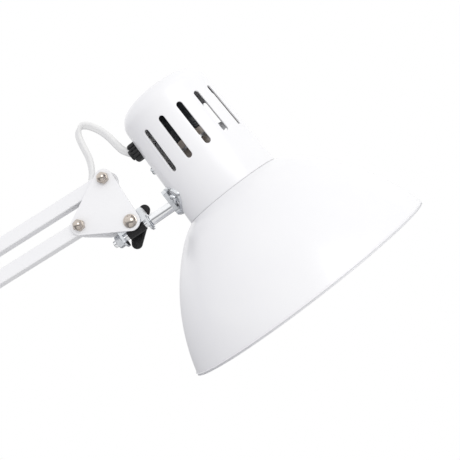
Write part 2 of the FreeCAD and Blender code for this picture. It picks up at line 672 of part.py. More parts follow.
# ---------------------------------------------------------------- routes of the cord
# Each point is a corner of the route; the tube turns inside it on an arc.
CLIP_ELBOW = ELBOW_A + V(2.5, 0, 43.0)
CLIP_ELBOW_DIR = V(0.36, 0, 0.933)
CLIP_BASE = V(SWIVEL_X + 2.0, 14.0, 18.0)


def along_bar(start, direction, distance, lift=0.0):
    """Point beside a tube: a distance along it and a lift to its upper left side."""
    return start + direction * distance + V(-direction.z, 0, direction.x) * lift


RELIEF_MOUTH = HEAD_FRAME.multVec(V(CAP_R + 2.0, 0, RELIEF_AT))

HEAD_LOOP = [
    along_bar(END_TOP, UPPER_DIR, -24.0, 0.6),
    along_bar(END_TOP, UPPER_DIR, -17.5, 0.6),
    along_bar(END_TOP, UPPER_DIR, -10.5, 5.8),
    END_TOP + V(-12.2, -0.3, 15.0),
    END_TOP + V(-17.2, -1.0, 24.5),
    END_TOP + V(-20.4, -1.6, 32.4),
    END_TOP + V(-16.4, -2.0, 37.2),
    END_TOP + V(-7.0, -3.0, 34.8),
    END_TOP + V(2.0, -4.6, 30.2),
    END_TOP + V(9.2, -6.2, 24.4),
    END_TOP + V(14.6, -7.2, 17.9),
    RELIEF_MOUTH,
]
ELBOW_LOOP = [
    along_bar(ELBOW_A, LOWER_DIR, -50.0, 0.6),
    along_bar(ELBOW_A, LOWER_DIR, -40.0, 0.6),
    along_bar(ELBOW_A, LOWER_DIR, -27.0, 8.0),
    ELBOW_A + V(-14.5, 0, -7.0),
    ELBOW_A + V(-13.0, 0, 12.0),
    ELBOW_A + V(-4.5, 0, 27.0),
    CLIP_ELBOW + CLIP_ELBOW_DIR * 8.0,
    ELBOW_A + V(17.0, 0, 72.0),
    ELBOW_A + V(30.0, 0, 86.5),
    ELBOW_A + V(48.5, 0, 91.0),
    along_bar(ELBOW_TOP, UPPER_DIR, 33.0, 9.5),
    along_bar(ELBOW_TOP, UPPER_DIR, 47.0, 0.6),
    along_bar(ELBOW_TOP, UPPER_DIR, 58.0, 0.6),
]
BASE_LOOP = [
    along_bar(SHOULDER_A, LOWER_DIR, 70.0, 0.6),
    along_bar(SHOULDER_A, LOWER_DIR, 60.0, 0.6),
    along_bar(SHOULDER_A, LOWER_DIR, 47.0, 7.0),
    SHOULDER_A + V(-28.0, 4.0, 28.0),
    SHOULDER_A + V(-33.0, 13.0, 12.0),
    SHOULDER_A + V(-27.0, 20.5, -3.0),
    SHOULDER_A + V(-12.0, 22.0, -10.5),
    SHOULDER_A + V(4.0, 16.5, -9.5),
    CLIP_BASE - X_AXIS * 5.0,
    CLIP_BASE + X_AXIS * 3.5,
]
LEAD_TO_SWITCH = [
    CLIP_BASE + X_AXIS * 3.5,
    CLIP_BASE + V(14.0, 0, 0),
    V(0.0, 17.5, 15.0),
    V(13.0, 26.0, 9.5),
    V(28.0, 33.0, 3.6),
    V(46.0, 37.0, 2.6),
    V(68.0, 34.0, 2.6),
    V(90.0, 36.0, 2.6),
    V(112.0, 43.0, 2.6),
    V(126.0, 44.0, 2.6),
    V(136.0, 44.0, 2.6),
]
SWITCH_X = (134.0, 192.0)
SWITCH_Y = 44.0
COIL_CENTRE = V(255.0, -12.0, 0)
COIL_R = 27.5
COIL_HALF = 7.5
COIL_HEIGHT = 16.5
LEAD_TO_COIL = [
    V(190.0, 44.0, 2.6),
    V(200.0, 44.0, 2.6),
    V(216.0, 41.0, 2.6),
    V(231.0, 32.0, 2.6),
    V(244.0, 25.8, 2.6),
    V(255.0, 25.8, 2.6),
]
LEAD_TO_PLUG = [
    V(255.0, -49.8, 2.6),
    V(266.0, -49.8, 2.6),
    V(281.0, -46.5, 2.6),
    V(296.0, -44.8, 4.6),
    V(309.0, PLUG_Y, PLUG_Z),
    V(318.0, PLUG_Y, PLUG_Z),
]


# ---------------------------------------------------------------- things on the lead
def cord_clip(centre, axis, foot, cord):
    """Small clip round the cord, with a foot on its plate."""
    hoop = cyl(CORD_R + 1.5, centre - axis * 2.5, axis, 5.0)
    return fuse([hoop, foot]).cut(cord)


def elbow_clip(cord):
    """Clip between the elbow plates, in line with the cord as it passes them."""
    foot = box(0, 14.0, -PLATE_INNER, PLATE_INNER, -2.5, 2.5)
    lean = FreeCAD.Rotation(Z_AXIS, CLIP_ELBOW_DIR)
    foot = placed(foot, FreeCAD.Placement(CLIP_ELBOW, lean))
    return cord_clip(CLIP_ELBOW, CLIP_ELBOW_DIR, foot, cord)


def base_clip(cord):
    """Clip on the back of the shoulder bracket, where the free lead starts."""
    x, z = CLIP_BASE.x, CLIP_BASE.z
    foot = box(x - 2.5, x + 2.5, PLATE_OUTER, CLIP_BASE.y, z - 3.5, z + 3.5)
    return cord_clip(CLIP_BASE, X_AXIS, foot, cord)


def switch_half(z0, z1, window):
    x0, x1 = SWITCH_X
    half = box(x0, x1, SWITCH_Y - 11, SWITCH_Y + 11, z0, z1)
    uprights = [e for e in half.Edges if abs(e.Length - (z1 - z0)) < 0.01]
    half = half.makeFillet(6.0, uprights)
    for x in (x0, x1):
        half = half.cut(cyl(CORD_R, V(x - 2, SWITCH_Y, 2.6), X_AXIS, 4))
    if window:
        half = half.cut(box(154.0, 172.0, SWITCH_Y - 6.2, SWITCH_Y + 6.2, z0 - 1, z1 + 1))
    return half


def switch_rocker():
    """Rocker with a shallow V top that tips about a cross axle."""
    xm = (SWITCH_X[0] + SWITCH_X[1]) / 2
    z_axle = 11.0
    y0, width = SWITCH_Y - 5.8, 11.6
    half, floor_z = 8.5, 11.5
    outline = [(-half, floor_z), (half, floor_z), (half, 15.6), (0, 14.2), (-half, 17.0), (-half, floor_z)]
    face = Part.Face(Part.makePolygon([V(xm + x, y0, z) for x, z in outline]))
    body = face.extrude(V(0, width, 0))
    axle = cyl(1.5, V(xm, y0, z_axle), Y_AXIS, width)
    return fuse([body, axle])


def plug_body():
    """Moulded plug with a tapered strain relief where the cord enters."""
    half_w, half_h = 12.5, 8.4
    x0, x1 = PLUG_X + PLUG_NECK - 3.0, PLUG_X + PLUG_NECK + PLUG_BODY
    body = box(x0, x1, PLUG_Y - half_w, PLUG_Y + half_w, PLUG_Z - half_h, PLUG_Z + half_h)
    body = body.makeFillet(3.0, body.Edges)
    neck = Part.makeCone(4.2, 7.5, PLUG_NECK, V(PLUG_X, PLUG_Y, PLUG_Z), X_AXIS)
    return fuse([body, neck]).cut(cyl(CORD_R, V(PLUG_X - 1, PLUG_Y, PLUG_Z), X_AXIS, 3.0))


def plug_blades():
    """Two flat blades with rounded tips and a hole near each end."""
    x0, length, gap = PLUG_X + PLUG_NECK + PLUG_BODY, 17.0, 6.35
    blades = []
    for y in (PLUG_Y - gap, PLUG_Y + gap):
        blade = box(x0, x0 + length, y - 0.75, y + 0.75, PLUG_Z - 3.15, PLUG_Z + 3.15)
        tips = [e for e in blade.Edges if abs(e.Length - 1.5) < 0.01 and e.Vertexes[0].X > x0 + length - 1]
        blade = blade.makeFillet(1.6, tips)
        blades.append(blade.cut(cyl(1.5, V(x0 + length - 5, y - 2, PLUG_Z), Y_AXIS, 4)))
    return blades


def cord_coil():
    """Closed outer shape of the wound lead."""
    outer = cyl(COIL_R + COIL_HALF, COIL_CENTRE, Z_AXIS, COIL_HEIGHT)
    hollow = cyl(COIL_R - COIL_HALF, COIL_CENTRE - Z_AXIS, Z_AXIS, COIL_HEIGHT + 2)
    coil = outer.cut(hollow)
    return coil.makeFillet(2.2, [e for e in coil.Edges if e.Length > 50])


# ---------------------------------------------------------------- build
def build_clamp():
    export("clamp_frame", clamp_frame())
    export("jaw_liner", box(-19.5, 21.5, -17.5, 17.5, 0, JAW_LINER))
    export("clamp_screw", clamp_screw())
    export("clamp_knob", clamp_knob())
    export("clamp_pad", clamp_pad())
    export("pad_liner", cyl(12.5, V(0, 0, -DESK_THICKNESS - 1.5), Z_AXIS, 1.5))


def build_shoulder():
    points = [SHOULDER_A, SHOULDER_B]
    export("shoulder_bracket", shoulder_bracket())
    export("base_spigot", base_spigot())
    export("shoulder_bolts", [pivot_bolt(p, -9.9, PLATE_OUTER) for p in points] + [spring_post(POST_BASE)])
    export("shoulder_acorn_nuts", [acorn_nut(p, -PLATE_OUTER) for p in points])
    export("shoulder_washers", pivot_washers(points))


def build_lower_arm():
    rear = arm_bar(SHOULDER_A, LOWER_ARM_ANGLE, RUNNING,
                   [(44.0, 64.0, 1), (ARM_SPAN - 45.0, ARM_SPAN - 24.0, 1)])
    export("lower_bar_rear", fuse([rear] + spring_studs(POST_LOWER_BAR, BAR / 2 - BAR_WALL)))
    export("lower_bar_front", arm_bar(SHOULDER_B, LOWER_ARM_ANGLE, OPEN_PIVOT, []))
    springs = [spring_envelope(POST_BASE, POST_LOWER_BAR, y) for y in (-SPRING_Y, SPRING_Y)]
    export("lower_springs", springs)


def build_elbow():
    points = [ELBOW_A, ELBOW_B, ELBOW_LOW, ELBOW_TOP]
    export("elbow_plate_front", elbow_plate(-PLATE_OUTER))
    export("elbow_plate_rear", elbow_plate(PLATE_INNER))
    export("elbow_bolts", [pivot_bolt(p, -9.9, PLATE_OUTER) for p in points] + [spring_post(POST_ELBOW)])
    export("elbow_acorn_nuts", [acorn_nut(p, -PLATE_OUTER) for p in points])
    export("elbow_washers", pivot_washers(points))


def build_upper_arm():
    top = arm_bar(ELBOW_TOP, UPPER_ARM_ANGLE, RUNNING,
                  [(30.0, 52.0, 1), (ARM_SPAN - 21.0, ARM_SPAN - 4.5, 1)])
    export("upper_bar_top", fuse([top] + spring_studs(POST_UPPER_BAR, BAR / 2 - BAR_WALL)))
    export("upper_bar_low", arm_bar(ELBOW_LOW, UPPER_ARM_ANGLE, OPEN_PIVOT, []))
    springs = [spring_envelope(POST_ELBOW, POST_UPPER_BAR, y) for y in (-SPRING_Y, SPRING_Y)]
    export("upper_springs", springs)


def build_end():
    points = [END_LOW, END_TOP]
    export("end_plate_front", end_plate_front())
    export("end_plate_rear", end_plate_rear())
    export("end_bolts", [pivot_bolt(p, -9.9, PLATE_OUTER) for p in points] + [tilt_bolt()])
    export("end_acorn_nuts", [acorn_nut(p, -PLATE_OUTER) for p in points])
    washer = pin(KNUCKLE, 5.2, -PLATE_INNER, -4.65).cut(pin(KNUCKLE, BOLT_R, -10, 10))
    export("end_washers", pivot_washers(points) + [washer])


def build_knuckle():
    export("yoke", placed(yoke(), KNUCKLE_FRAME))
    lobes_upright = FreeCAD.Placement(KNUCKLE, FreeCAD.Rotation(Y_AXIS, 12))
    export("wing_nut", placed(wing_nut(), lobes_upright))
    export("rod_washer", placed(rod_washer(), KNUCKLE_FRAME))
    export("rod_bush", placed(rod_bush(), KNUCKLE_FRAME))


def build_head():
    pieces = {
        "cap": cap(),
        "shade": shade(),
        "cap_screws": flange_screws() + bracket_screws() + [strap_screw()],
        "lampholder_strap": lampholder_strap(),
        "lampholder_top": lampholder_top(),
        "lampholder_skirt": lampholder_skirt(),
        "bulb_base": bulb_base(),
        "bulb_glass": bulb_glass(),
        "head_lead": head_lead(),
    }
    for name, shape in pieces.items():
        shapes = shape if isinstance(shape, list) else [shape]
        export(name, [placed(s, HEAD_FRAME) for s in shapes])
    rod = placed(head_rod(), KNUCKLE_FRAME)
    inner_nut = placed(rod_inner_nut(), HEAD_FRAME).cut(rod)
    export("head_rod", rod)
    export("rod_nuts", [placed(rod_end_nut(), KNUCKLE_FRAME), inner_nut])
    export("head_bracket", placed(head_bracket(), HEAD_FRAME).cut(rod))


def build_cord():
    routes = {
        "head_loop": HEAD_LOOP, "elbow_loop": ELBOW_LOOP, "base_loop": BASE_LOOP,
        "lead_to_switch": LEAD_TO_SWITCH, "lead_to_coil": LEAD_TO_COIL, "lead_to_plug": LEAD_TO_PLUG,
    }
    tubes = {name: cord_tube(name, route) for name, route in routes.items()}
    for name, tube in tubes.items():
        export(name, tube)
    export("strain_relief", placed(strain_relief(), HEAD_FRAME).cut(tubes["head_loop"]))
    export("elbow_cord_clip", elbow_clip(tubes["elbow_loop"]))
    export("base_cord_clip", base_clip(tubes["base_loop"]))
    export("cord_coil", cord_coil())
    export("switch_base", switch_half(0.1, 6.5, False))
    export("switch_cover", switch_half(6.5, 13.6, True))
    export("switch_rocker", switch_rocker())
    export("plug_body", plug_body())
    export("plug_blades", plug_blades())
    for name, start, end in (("lower_tube_cord", BASE_LOOP[0], ELBOW_LOOP[0]),
                             ("upper_tube_cord", ELBOW_LOOP[-1], HEAD_LOOP[0])):
        export(name, cyl(CORD_R, start, end - start, (end - start).Length))


def main():
    os.makedirs("parts", exist_ok=True)
    build_clamp()
    build_shoulder()
    build_lower_arm()
    build_elbow()
    build_upper_arm()
    build_end()
    build_knuckle()
    build_head()
    build_cord()


main()
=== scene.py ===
"""Swing arm desk lamp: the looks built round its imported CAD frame.

Every piece is a surface worked out in metres in the frame of the part: +Z up, +X the way the
head reaches over the desk, the origin where the clamp's jaw rests on the desk top.
"""
import json
import logging
import math
from dataclasses import dataclass, field
from enum import Enum

import bmesh
import bpy
import numpy as np
from mathutils import Matrix, Vector


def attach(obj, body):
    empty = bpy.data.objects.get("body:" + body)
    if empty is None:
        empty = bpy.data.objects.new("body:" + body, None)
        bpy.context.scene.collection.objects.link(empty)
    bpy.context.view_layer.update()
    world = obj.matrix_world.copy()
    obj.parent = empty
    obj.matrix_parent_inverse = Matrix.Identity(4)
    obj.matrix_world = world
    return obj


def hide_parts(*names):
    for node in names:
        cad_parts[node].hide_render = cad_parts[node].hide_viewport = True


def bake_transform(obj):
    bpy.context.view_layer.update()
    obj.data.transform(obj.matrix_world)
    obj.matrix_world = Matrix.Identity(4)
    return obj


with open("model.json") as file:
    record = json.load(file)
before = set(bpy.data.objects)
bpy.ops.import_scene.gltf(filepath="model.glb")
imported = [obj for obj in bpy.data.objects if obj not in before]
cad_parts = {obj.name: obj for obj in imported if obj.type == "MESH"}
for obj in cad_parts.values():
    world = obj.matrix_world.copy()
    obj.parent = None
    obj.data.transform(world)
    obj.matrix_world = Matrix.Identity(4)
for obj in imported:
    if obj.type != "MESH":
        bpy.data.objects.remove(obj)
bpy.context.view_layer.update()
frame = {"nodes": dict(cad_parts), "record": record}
LOG = logging.getLogger("lamp")
MM = 0.001
TAU = 2 * math.pi
WELD, SLIVER = 2e-6, 1e-7
FLAT_ANGLE, EDGE_ANGLE, SMOOTH_ANGLE = math.radians(0.5), math.radians(40), math.radians(35)
Array = np.ndarray


# ---------------------------------------------------------------- places read from the frame
def joint_place(name: str) -> Vector:
    """Point on a hinge's axis at rest, in metres.

    Args:
        name: joint name in the record.

    Returns:
        The hinge's position.
    """
    joints = frame["record"]["behaviour"]["joints"]
    return Vector(next(j for j in joints if j["name"] == name)["pos_m"])


def joint_axis(name: str) -> Vector:
    """Unit direction of a hinge's axis at rest."""
    joints = frame["record"]["behaviour"]["joints"]
    return Vector(next(j for j in joints if j["name"] == name)["axis"]).normalized()


def polar(degrees: float, length: float = 1.0) -> Vector:
    """Step in the arm plane, at an angle in degrees from +X towards +Z."""
    return Vector((math.cos(math.radians(degrees)), 0, math.sin(math.radians(degrees)))) * length


SHOULDER_A, SHOULDER_B = joint_place("shoulder"), joint_place("lower_link")
ELBOW_A, ELBOW_TOP, ELBOW_LOW = joint_place("elbow_level"), joint_place("elbow"), joint_place("upper_link")
END_TOP, KNUCKLE, ROD_FOOT = joint_place("end_level"), joint_place("tilt"), joint_place("head_swivel")
ARM_SPAN = (ELBOW_A - SHOULDER_A).length
LOWER_DIR, UPPER_DIR = (ELBOW_A - SHOULDER_A).normalized(), (END_TOP - ELBOW_TOP).normalized()
ELBOW_B, END_LOW = SHOULDER_B + LOWER_DIR * ARM_SPAN, ELBOW_LOW + UPPER_DIR * ARM_SPAN
ROD_DIR = joint_axis("head_swivel")
ROD_ANGLE = math.degrees(math.atan2(ROD_DIR.z, ROD_DIR.x))
SHOULDER_POST = SHOULDER_A + Vector((-13.0, 0, -6.0)) * MM
ELBOW_POST = ELBOW_TOP + Vector((-7.0, 0, 9.5)) * MM
RELIEF_FACE, RELIEF_HEIGHT = 35.4, 58.5


def upright_on(place: Vector, degrees: float = 0.0) -> Matrix:
    """Frame at a point: local X at an angle in the arm plane, local Z square to it, Y kept."""
    return Matrix.Translation(place) @ Matrix.Rotation(math.radians(-degrees), 4, "Y")


def head_frame(tilt: float = 36.9, swivel: float = 9.46, reach: float = 27.5 * MM,
               face: float = 36.0 * MM, rod_at: float = 17.0 * MM) -> Matrix:
    """Frame of the head: the seam of cap and shade at z = 0, +Z to the cap's top, +X to the rod.

    Args:
        tilt: head axis from the vertical, in degrees.
        swivel: turn of the head about the rod, in degrees.
        reach: tilt pivot to the bracket's face, along the rod.
        face: head axis to the bracket's face.
        rod_at: rod axis above the seam.

    Returns:
        The frame as a 4x4 matrix.
    """
    foot, bracket = Matrix.Translation(ROD_FOOT), Matrix.Translation(ROD_DIR * reach)
    turn = Matrix.Rotation(math.radians(swivel), 4, ROD_DIR)
    lean = Matrix.Rotation(math.radians(-tilt), 4, "Y") @ Matrix.Rotation(math.pi, 4, "Z")
    return foot @ turn @ bracket @ lean @ Matrix.Translation((-face, 0, -rod_at))


HEAD = head_frame()
ROD = upright_on(KNUCKLE, ROD_ANGLE)


# ---------------------------------------------------------------- meshes
def placed(points: Array, place: Matrix) -> Array:
    """Points of a grid moved by a 4x4 matrix, as one array product."""
    matrix = np.array(place)
    return points @ matrix[:3, :3].T + matrix[:3, 3]


def grid_quads(rows: int, cols: int, wrap_rows: bool, wrap_cols: bool) -> Array:
    """Corner numbers of a grid's faces: each joins a point, its right, its upper right, its upper.

    Args:
        rows: points along the first parameter.
        cols: points along the second parameter.
        wrap_rows: the last row joins the first.
        wrap_cols: the last column joins the first.

    Returns:
        An (n, 4) array of point numbers.
    """
    i, j = np.meshgrid(np.arange(rows if wrap_rows else rows - 1),
                       np.arange(cols if wrap_cols else cols - 1), indexing="ij")
    up, right = (i + 1) % rows, (j + 1) % cols
    quads = np.stack([i * cols + j, i * cols + right, up * cols + right, up * cols + j], axis=-1)
    return quads.reshape(-1, 4)


@dataclass
class Shell:
    """One mesh made of grids, welded into closed surfaces whose faces point outwards."""

    name: str
    grids: list[tuple[Array, Array]] = field(default_factory=list)

    def add(self, points: Array, wrap_rows: bool = False, wrap_cols: bool = True,
            place: Matrix = Matrix()) -> "Shell":
        """Adds a grid of points.

        Args:
            points: (rows, cols, 3) array in metres.
            wrap_rows: the rows close on themselves.
            wrap_cols: the columns close on themselves.
            place: where the grid goes.

        Returns:
            The shell, so that calls can follow each other.
        """
        rows, cols = points.shape[:2]
        self.grids.append((placed(points, place).reshape(-1, 3),
                           grid_quads(rows, cols, wrap_rows, wrap_cols)))
        return self

    def done(self, crease: float = 32.0) -> bpy.types.Object:
        """Welds the grids into an object.

        Args:
            crease: angle in degrees past which an edge is sharp.

        Returns:
            The new object, at the origin.
        """
        starts = np.cumsum([0] + [len(p) for p, _ in self.grids[:-1]])
        points = np.concatenate([p for p, _ in self.grids])
        quads = np.concatenate([q + s for (_, q), s in zip(self.grids, starts)])
        mesh = bpy.data.meshes.new(self.name)
        mesh.from_pydata(points.tolist(), [], quads.tolist())
        work = bmesh.new()
        work.from_mesh(mesh)
        bmesh.ops.remove_doubles(work, verts=work.verts, dist=WELD)
        bmesh.ops.dissolve_degenerate(work, edges=work.edges, dist=SLIVER)
        bmesh.ops.recalc_face_normals(work, faces=work.faces)
        work.to_mesh(mesh)
        work.free()
        mesh.shade_smooth()
        mesh.set_sharp_from_angle(angle=math.radians(crease))
        obj = bpy.data.objects.new(self.name, mesh)
        bpy.context.scene.collection.objects.link(obj)
        return obj


def arc(centre: tuple[float, float], radius: float, start: float, end: float, count: int = 9) -> Array:
    """Points of an arc in the plane of a profile: centre plus radius times cosine and sine.

    Args:
        centre: the arc's centre.
        radius: its radius.
        start: angle of the first point, in degrees.
        end: angle of the last point.
        count: how many points.

    Returns:
        A (count, 2) array.
    """
    angle = np.radians(np.linspace(start, end, count))
    return np.stack([centre[0] + radius * np.cos(angle), centre[1] + radius * np.sin(angle)], axis=-1)


def eased(corners: list[tuple[float, float, float]], steps: int = 5) -> Array:
    """Open outline whose inner corners are eased by quadratic curves.

    Each corner is (a, b, reach): the curve leaves the run before it and joins the run after it
    that far from the corner.

    Args:
        corners: outline points with their easing reach.
        steps: points on each curve.

    Returns:
        An (n, 2) array.
    """
    points = [np.array(corners[0][:2])[None]]
    t = np.linspace(0, 1, steps)[:, None]
    for before, here, after in zip(corners, corners[1:], corners[2:]):
        at = np.array(here[:2])
        run_in, run_out = np.array(before[:2]) - at, np.array(after[:2]) - at
        enter = at + run_in / np.linalg.norm(run_in) * here[2]
        leave = at + run_out / np.linalg.norm(run_out) * here[2]
        points.append(enter * (1 - t) ** 2 + 2 * at * t * (1 - t) + leave * t ** 2)
    points.append(np.array(corners[-1][:2])[None])
    return np.concatenate(points)


def lathe(profile: Array, angles: Array | int = 64) -> Array:
    """Profile of (radius, height) turned about Z: x is r cos(angle), y is r sin(angle).

    Args:
        profile: (n, 2) array.
        angles: the turn's angles in radians, or how many equal ones.

    Returns:
        A grid of points.
    """
    if isinstance(angles, int):
        angles = np.arange(angles) * TAU / angles
    r, z = profile[:, 0][:, None], profile[:, 1][:, None]
    return np.stack([r * np.cos(angles), r * np.sin(angles), z + 0 * angles], axis=-1)


def hexagon_turn(profile: Array, flats: float, count: int = 96) -> Array:
    """Turned profile cut to a hexagon: at each angle the radius is the lesser of the profile's and
    the hexagon's, half the flats over the cosine of the angle from the nearest flat's middle.

    Args:
        profile: (n, 2) array of radius and height.
        flats: width across the hexagon's flats.
        count: points round the axis.

    Returns:
        A grid of points.
    """
    angles = np.arange(count) * TAU / count
    hexagon = flats / 2 / np.cos((angles + TAU / 12) % (TAU / 6) - TAU / 12)
    r = np.minimum(profile[:, 0][:, None], hexagon)
    z = profile[:, 1][:, None] + 0 * angles
    return np.stack([r * np.cos(angles), r * np.sin(angles), z], axis=-1)


def hull_outline(centres: Array, radii: Array, inset: float, count: int = 144) -> Array:
    """Outline round a set of circles: in each direction, the point of the circle that reaches
    furthest that way, drawn in by the inset.

    Args:
        centres: (n, 2) circle centres.
        radii: (n,) circle radii.
        inset: how far inside the outline.
        count: directions round the outline.

    Returns:
        A (count, 2) array.
    """
    angle = np.arange(count) * TAU / count
    way = np.stack([np.cos(angle), np.sin(angle)], axis=-1)
    furthest = np.argmax(way @ centres.T + radii, axis=1)
    return centres[furthest] + (radii[furthest] - inset)[:, None] * way


def slab(centres: list[tuple[float, float]], radii: list[float], y0: float, y1: float,
         edge: float, steps: int = 4) -> Array:
    """Plate round circles in the XZ plane, from y0 to y1, with a quarter round on both edges.

    Args:
        centres: circle centres as (x, z).
        radii: their radii.
        y0: front face.
        y1: rear face.
        edge: radius of the edges.
        steps: points on each quarter round.

    Returns:
        A grid whose first and last rows shrink to the middle.
    """
    middle, sizes = np.array(centres), np.array(radii)
    turn = np.linspace(0, math.pi / 2, steps)
    insets = np.concatenate([edge * (1 - np.sin(turn)), edge * (1 - np.cos(turn))])
    heights = np.concatenate([y0 + edge * (1 - np.cos(turn)), y1 - edge * (1 - np.sin(turn))])
    rows = [np.insert(hull_outline(middle, sizes, inset), 1, height, axis=1)
            for inset, height in zip(insets, heights)]
    centre = middle.mean(axis=0)
    first, last = rows[0].copy(), rows[-1].copy()
    for cover, y in ((first, y0), (last, y1)):
        cover[:] = (centre[0], y, centre[1])
    return np.stack([first] + rows + [last])


def along(path: Array, section: Array, wide: Array) -> Array:
    """Section carried along a path.

    At each point the section's first axis is the wide direction with its part along the path
    taken out, and its second axis is square to both.

    Args:
        path: (n, 3) points.
        section: (m, 2) outline.
        wide: one direction, or one for each point.

    Returns:
        A grid of points.
    """
    run = np.gradient(path, axis=0)
    run /= np.linalg.norm(run, axis=1)[:, None]
    first = np.broadcast_to(wide, path.shape) - run * np.sum(wide * run, axis=1)[:, None]
    first /= np.linalg.norm(first, axis=1)[:, None]
    second = np.cross(run, first)
    return path[:, None] + section[None, :, :1] * first[:, None] + section[None, :, 1:] * second[:, None]


def capped(grid: Array) -> Array:
    """Grid with its first and last rows closed on their middles."""
    ring = grid[:1].shape
    start, end = grid[:1].mean(axis=1, keepdims=True), grid[-1:].mean(axis=1, keepdims=True)
    return np.concatenate([np.broadcast_to(start, ring), grid, np.broadcast_to(end, ring)])


def turned_y(place: Vector) -> Matrix:
    """Frame whose local +Z points at the viewer's side, world -Y, with local X kept."""
    return Matrix.Translation(place) @ Matrix.Rotation(math.pi / 2, 4, "X")


# ---------------------------------------------------------------- finishes
@dataclass(frozen=True)
class Finish:
    """Surface of one stock: two close colours that mottle, grain as bump, and its gloss."""

    name: str
    colour: tuple[float, float, float]
    shade: tuple[float, float, float]
    rough: float = 0.4
    rough_spread: float = 0.05
    metallic: float = 0.0
    coat: float = 0.0
    coat_rough: float = 0.1
    mottle: float = 60.0
    grain: float = 900.0
    depth: float = 0.06
    subsurface: float = 0.0
    specular: float = 0.5
    grain_height: float = 0.0002
    scatter_reach: float = 0.002

    def build(self) -> bpy.types.Material:
        """Makes the material: noise mixes the two colours and spreads the roughness, finer noise
        raises the bump.

        Returns:
            The new material.
        """
        material = bpy.data.materials.new(self.name)
        material.use_nodes = True
        nodes, links = material.node_tree.nodes, material.node_tree.links
        nodes.clear()
        out, shader = nodes.new("ShaderNodeOutputMaterial"), nodes.new("ShaderNodeBsdfPrincipled")
        coords = nodes.new("ShaderNodeTexCoord")
        blotch, grain = nodes.new("ShaderNodeTexNoise"), nodes.new("ShaderNodeTexNoise")
        for noise, scale, detail in ((blotch, self.mottle, 3.0), (grain, self.grain, 4.0)):
            noise.inputs["Scale"].default_value = scale
            noise.inputs["Detail"].default_value = detail
        ramp, spread, bump = (nodes.new("ShaderNodeValToRGB"), nodes.new("ShaderNodeMapRange"),
                              nodes.new("ShaderNodeBump"))
        for element, place, colour in zip(ramp.color_ramp.elements, (0.3, 0.7), (self.shade, self.colour)):
            element.position, element.color = place, (*colour, 1)
        spread.inputs["To Min"].default_value = self.rough - self.rough_spread
        spread.inputs["To Max"].default_value = self.rough + self.rough_spread
        bump.inputs["Strength"].default_value = self.depth
        bump.inputs["Distance"].default_value = self.grain_height
        for source, target in ((coords.outputs["Object"], blotch.inputs["Vector"]),
                               (coords.outputs["Object"], grain.inputs["Vector"]),
                               (blotch.outputs["Fac"], ramp.inputs["Fac"]),
                               (ramp.outputs["Color"], shader.inputs["Base Color"]),
                               (blotch.outputs["Fac"], spread.inputs["Value"]),
                               (spread.outputs["Result"], shader.inputs["Roughness"]),
                               (grain.outputs["Fac"], bump.inputs["Height"]),
                               (bump.outputs["Normal"], shader.inputs["Normal"]),
                               (shader.outputs["BSDF"], out.inputs["Surface"])):
            links.new(source, target)
        for socket, value in (("Metallic", self.metallic), ("Coat Weight", self.coat),
                              ("Coat Roughness", self.coat_rough), ("Subsurface Weight", self.subsurface),
                              ("Subsurface Scale", self.scatter_reach),
                              ("Specular IOR Level", self.specular)):
            shader.inputs[socket].default_value = value
        return material


class Stock(Enum):
    """Materials the lamp is made of, with their record slots' names as values."""

    WHITE_PAINT = "white_paint"
    ZINC = "zinc"
    NICKEL = "nickel"
    STEEL = "polished_steel"
    SPRING_STEEL = "spring_steel"
    BLACK_PLASTIC = "black_plastic"
    SLATE = "slate_phenolic"
    PORCELAIN = "beige_porcelain"
    RUBBER = "black_rubber"
    FLEX = "white_flex"
    WHITE_PLASTIC = "white_plastic"
    BULB_GLASS = "bulb_glass"
    BULB_SHELL = "bulb_shell"
    BRASS = "blade_brass"


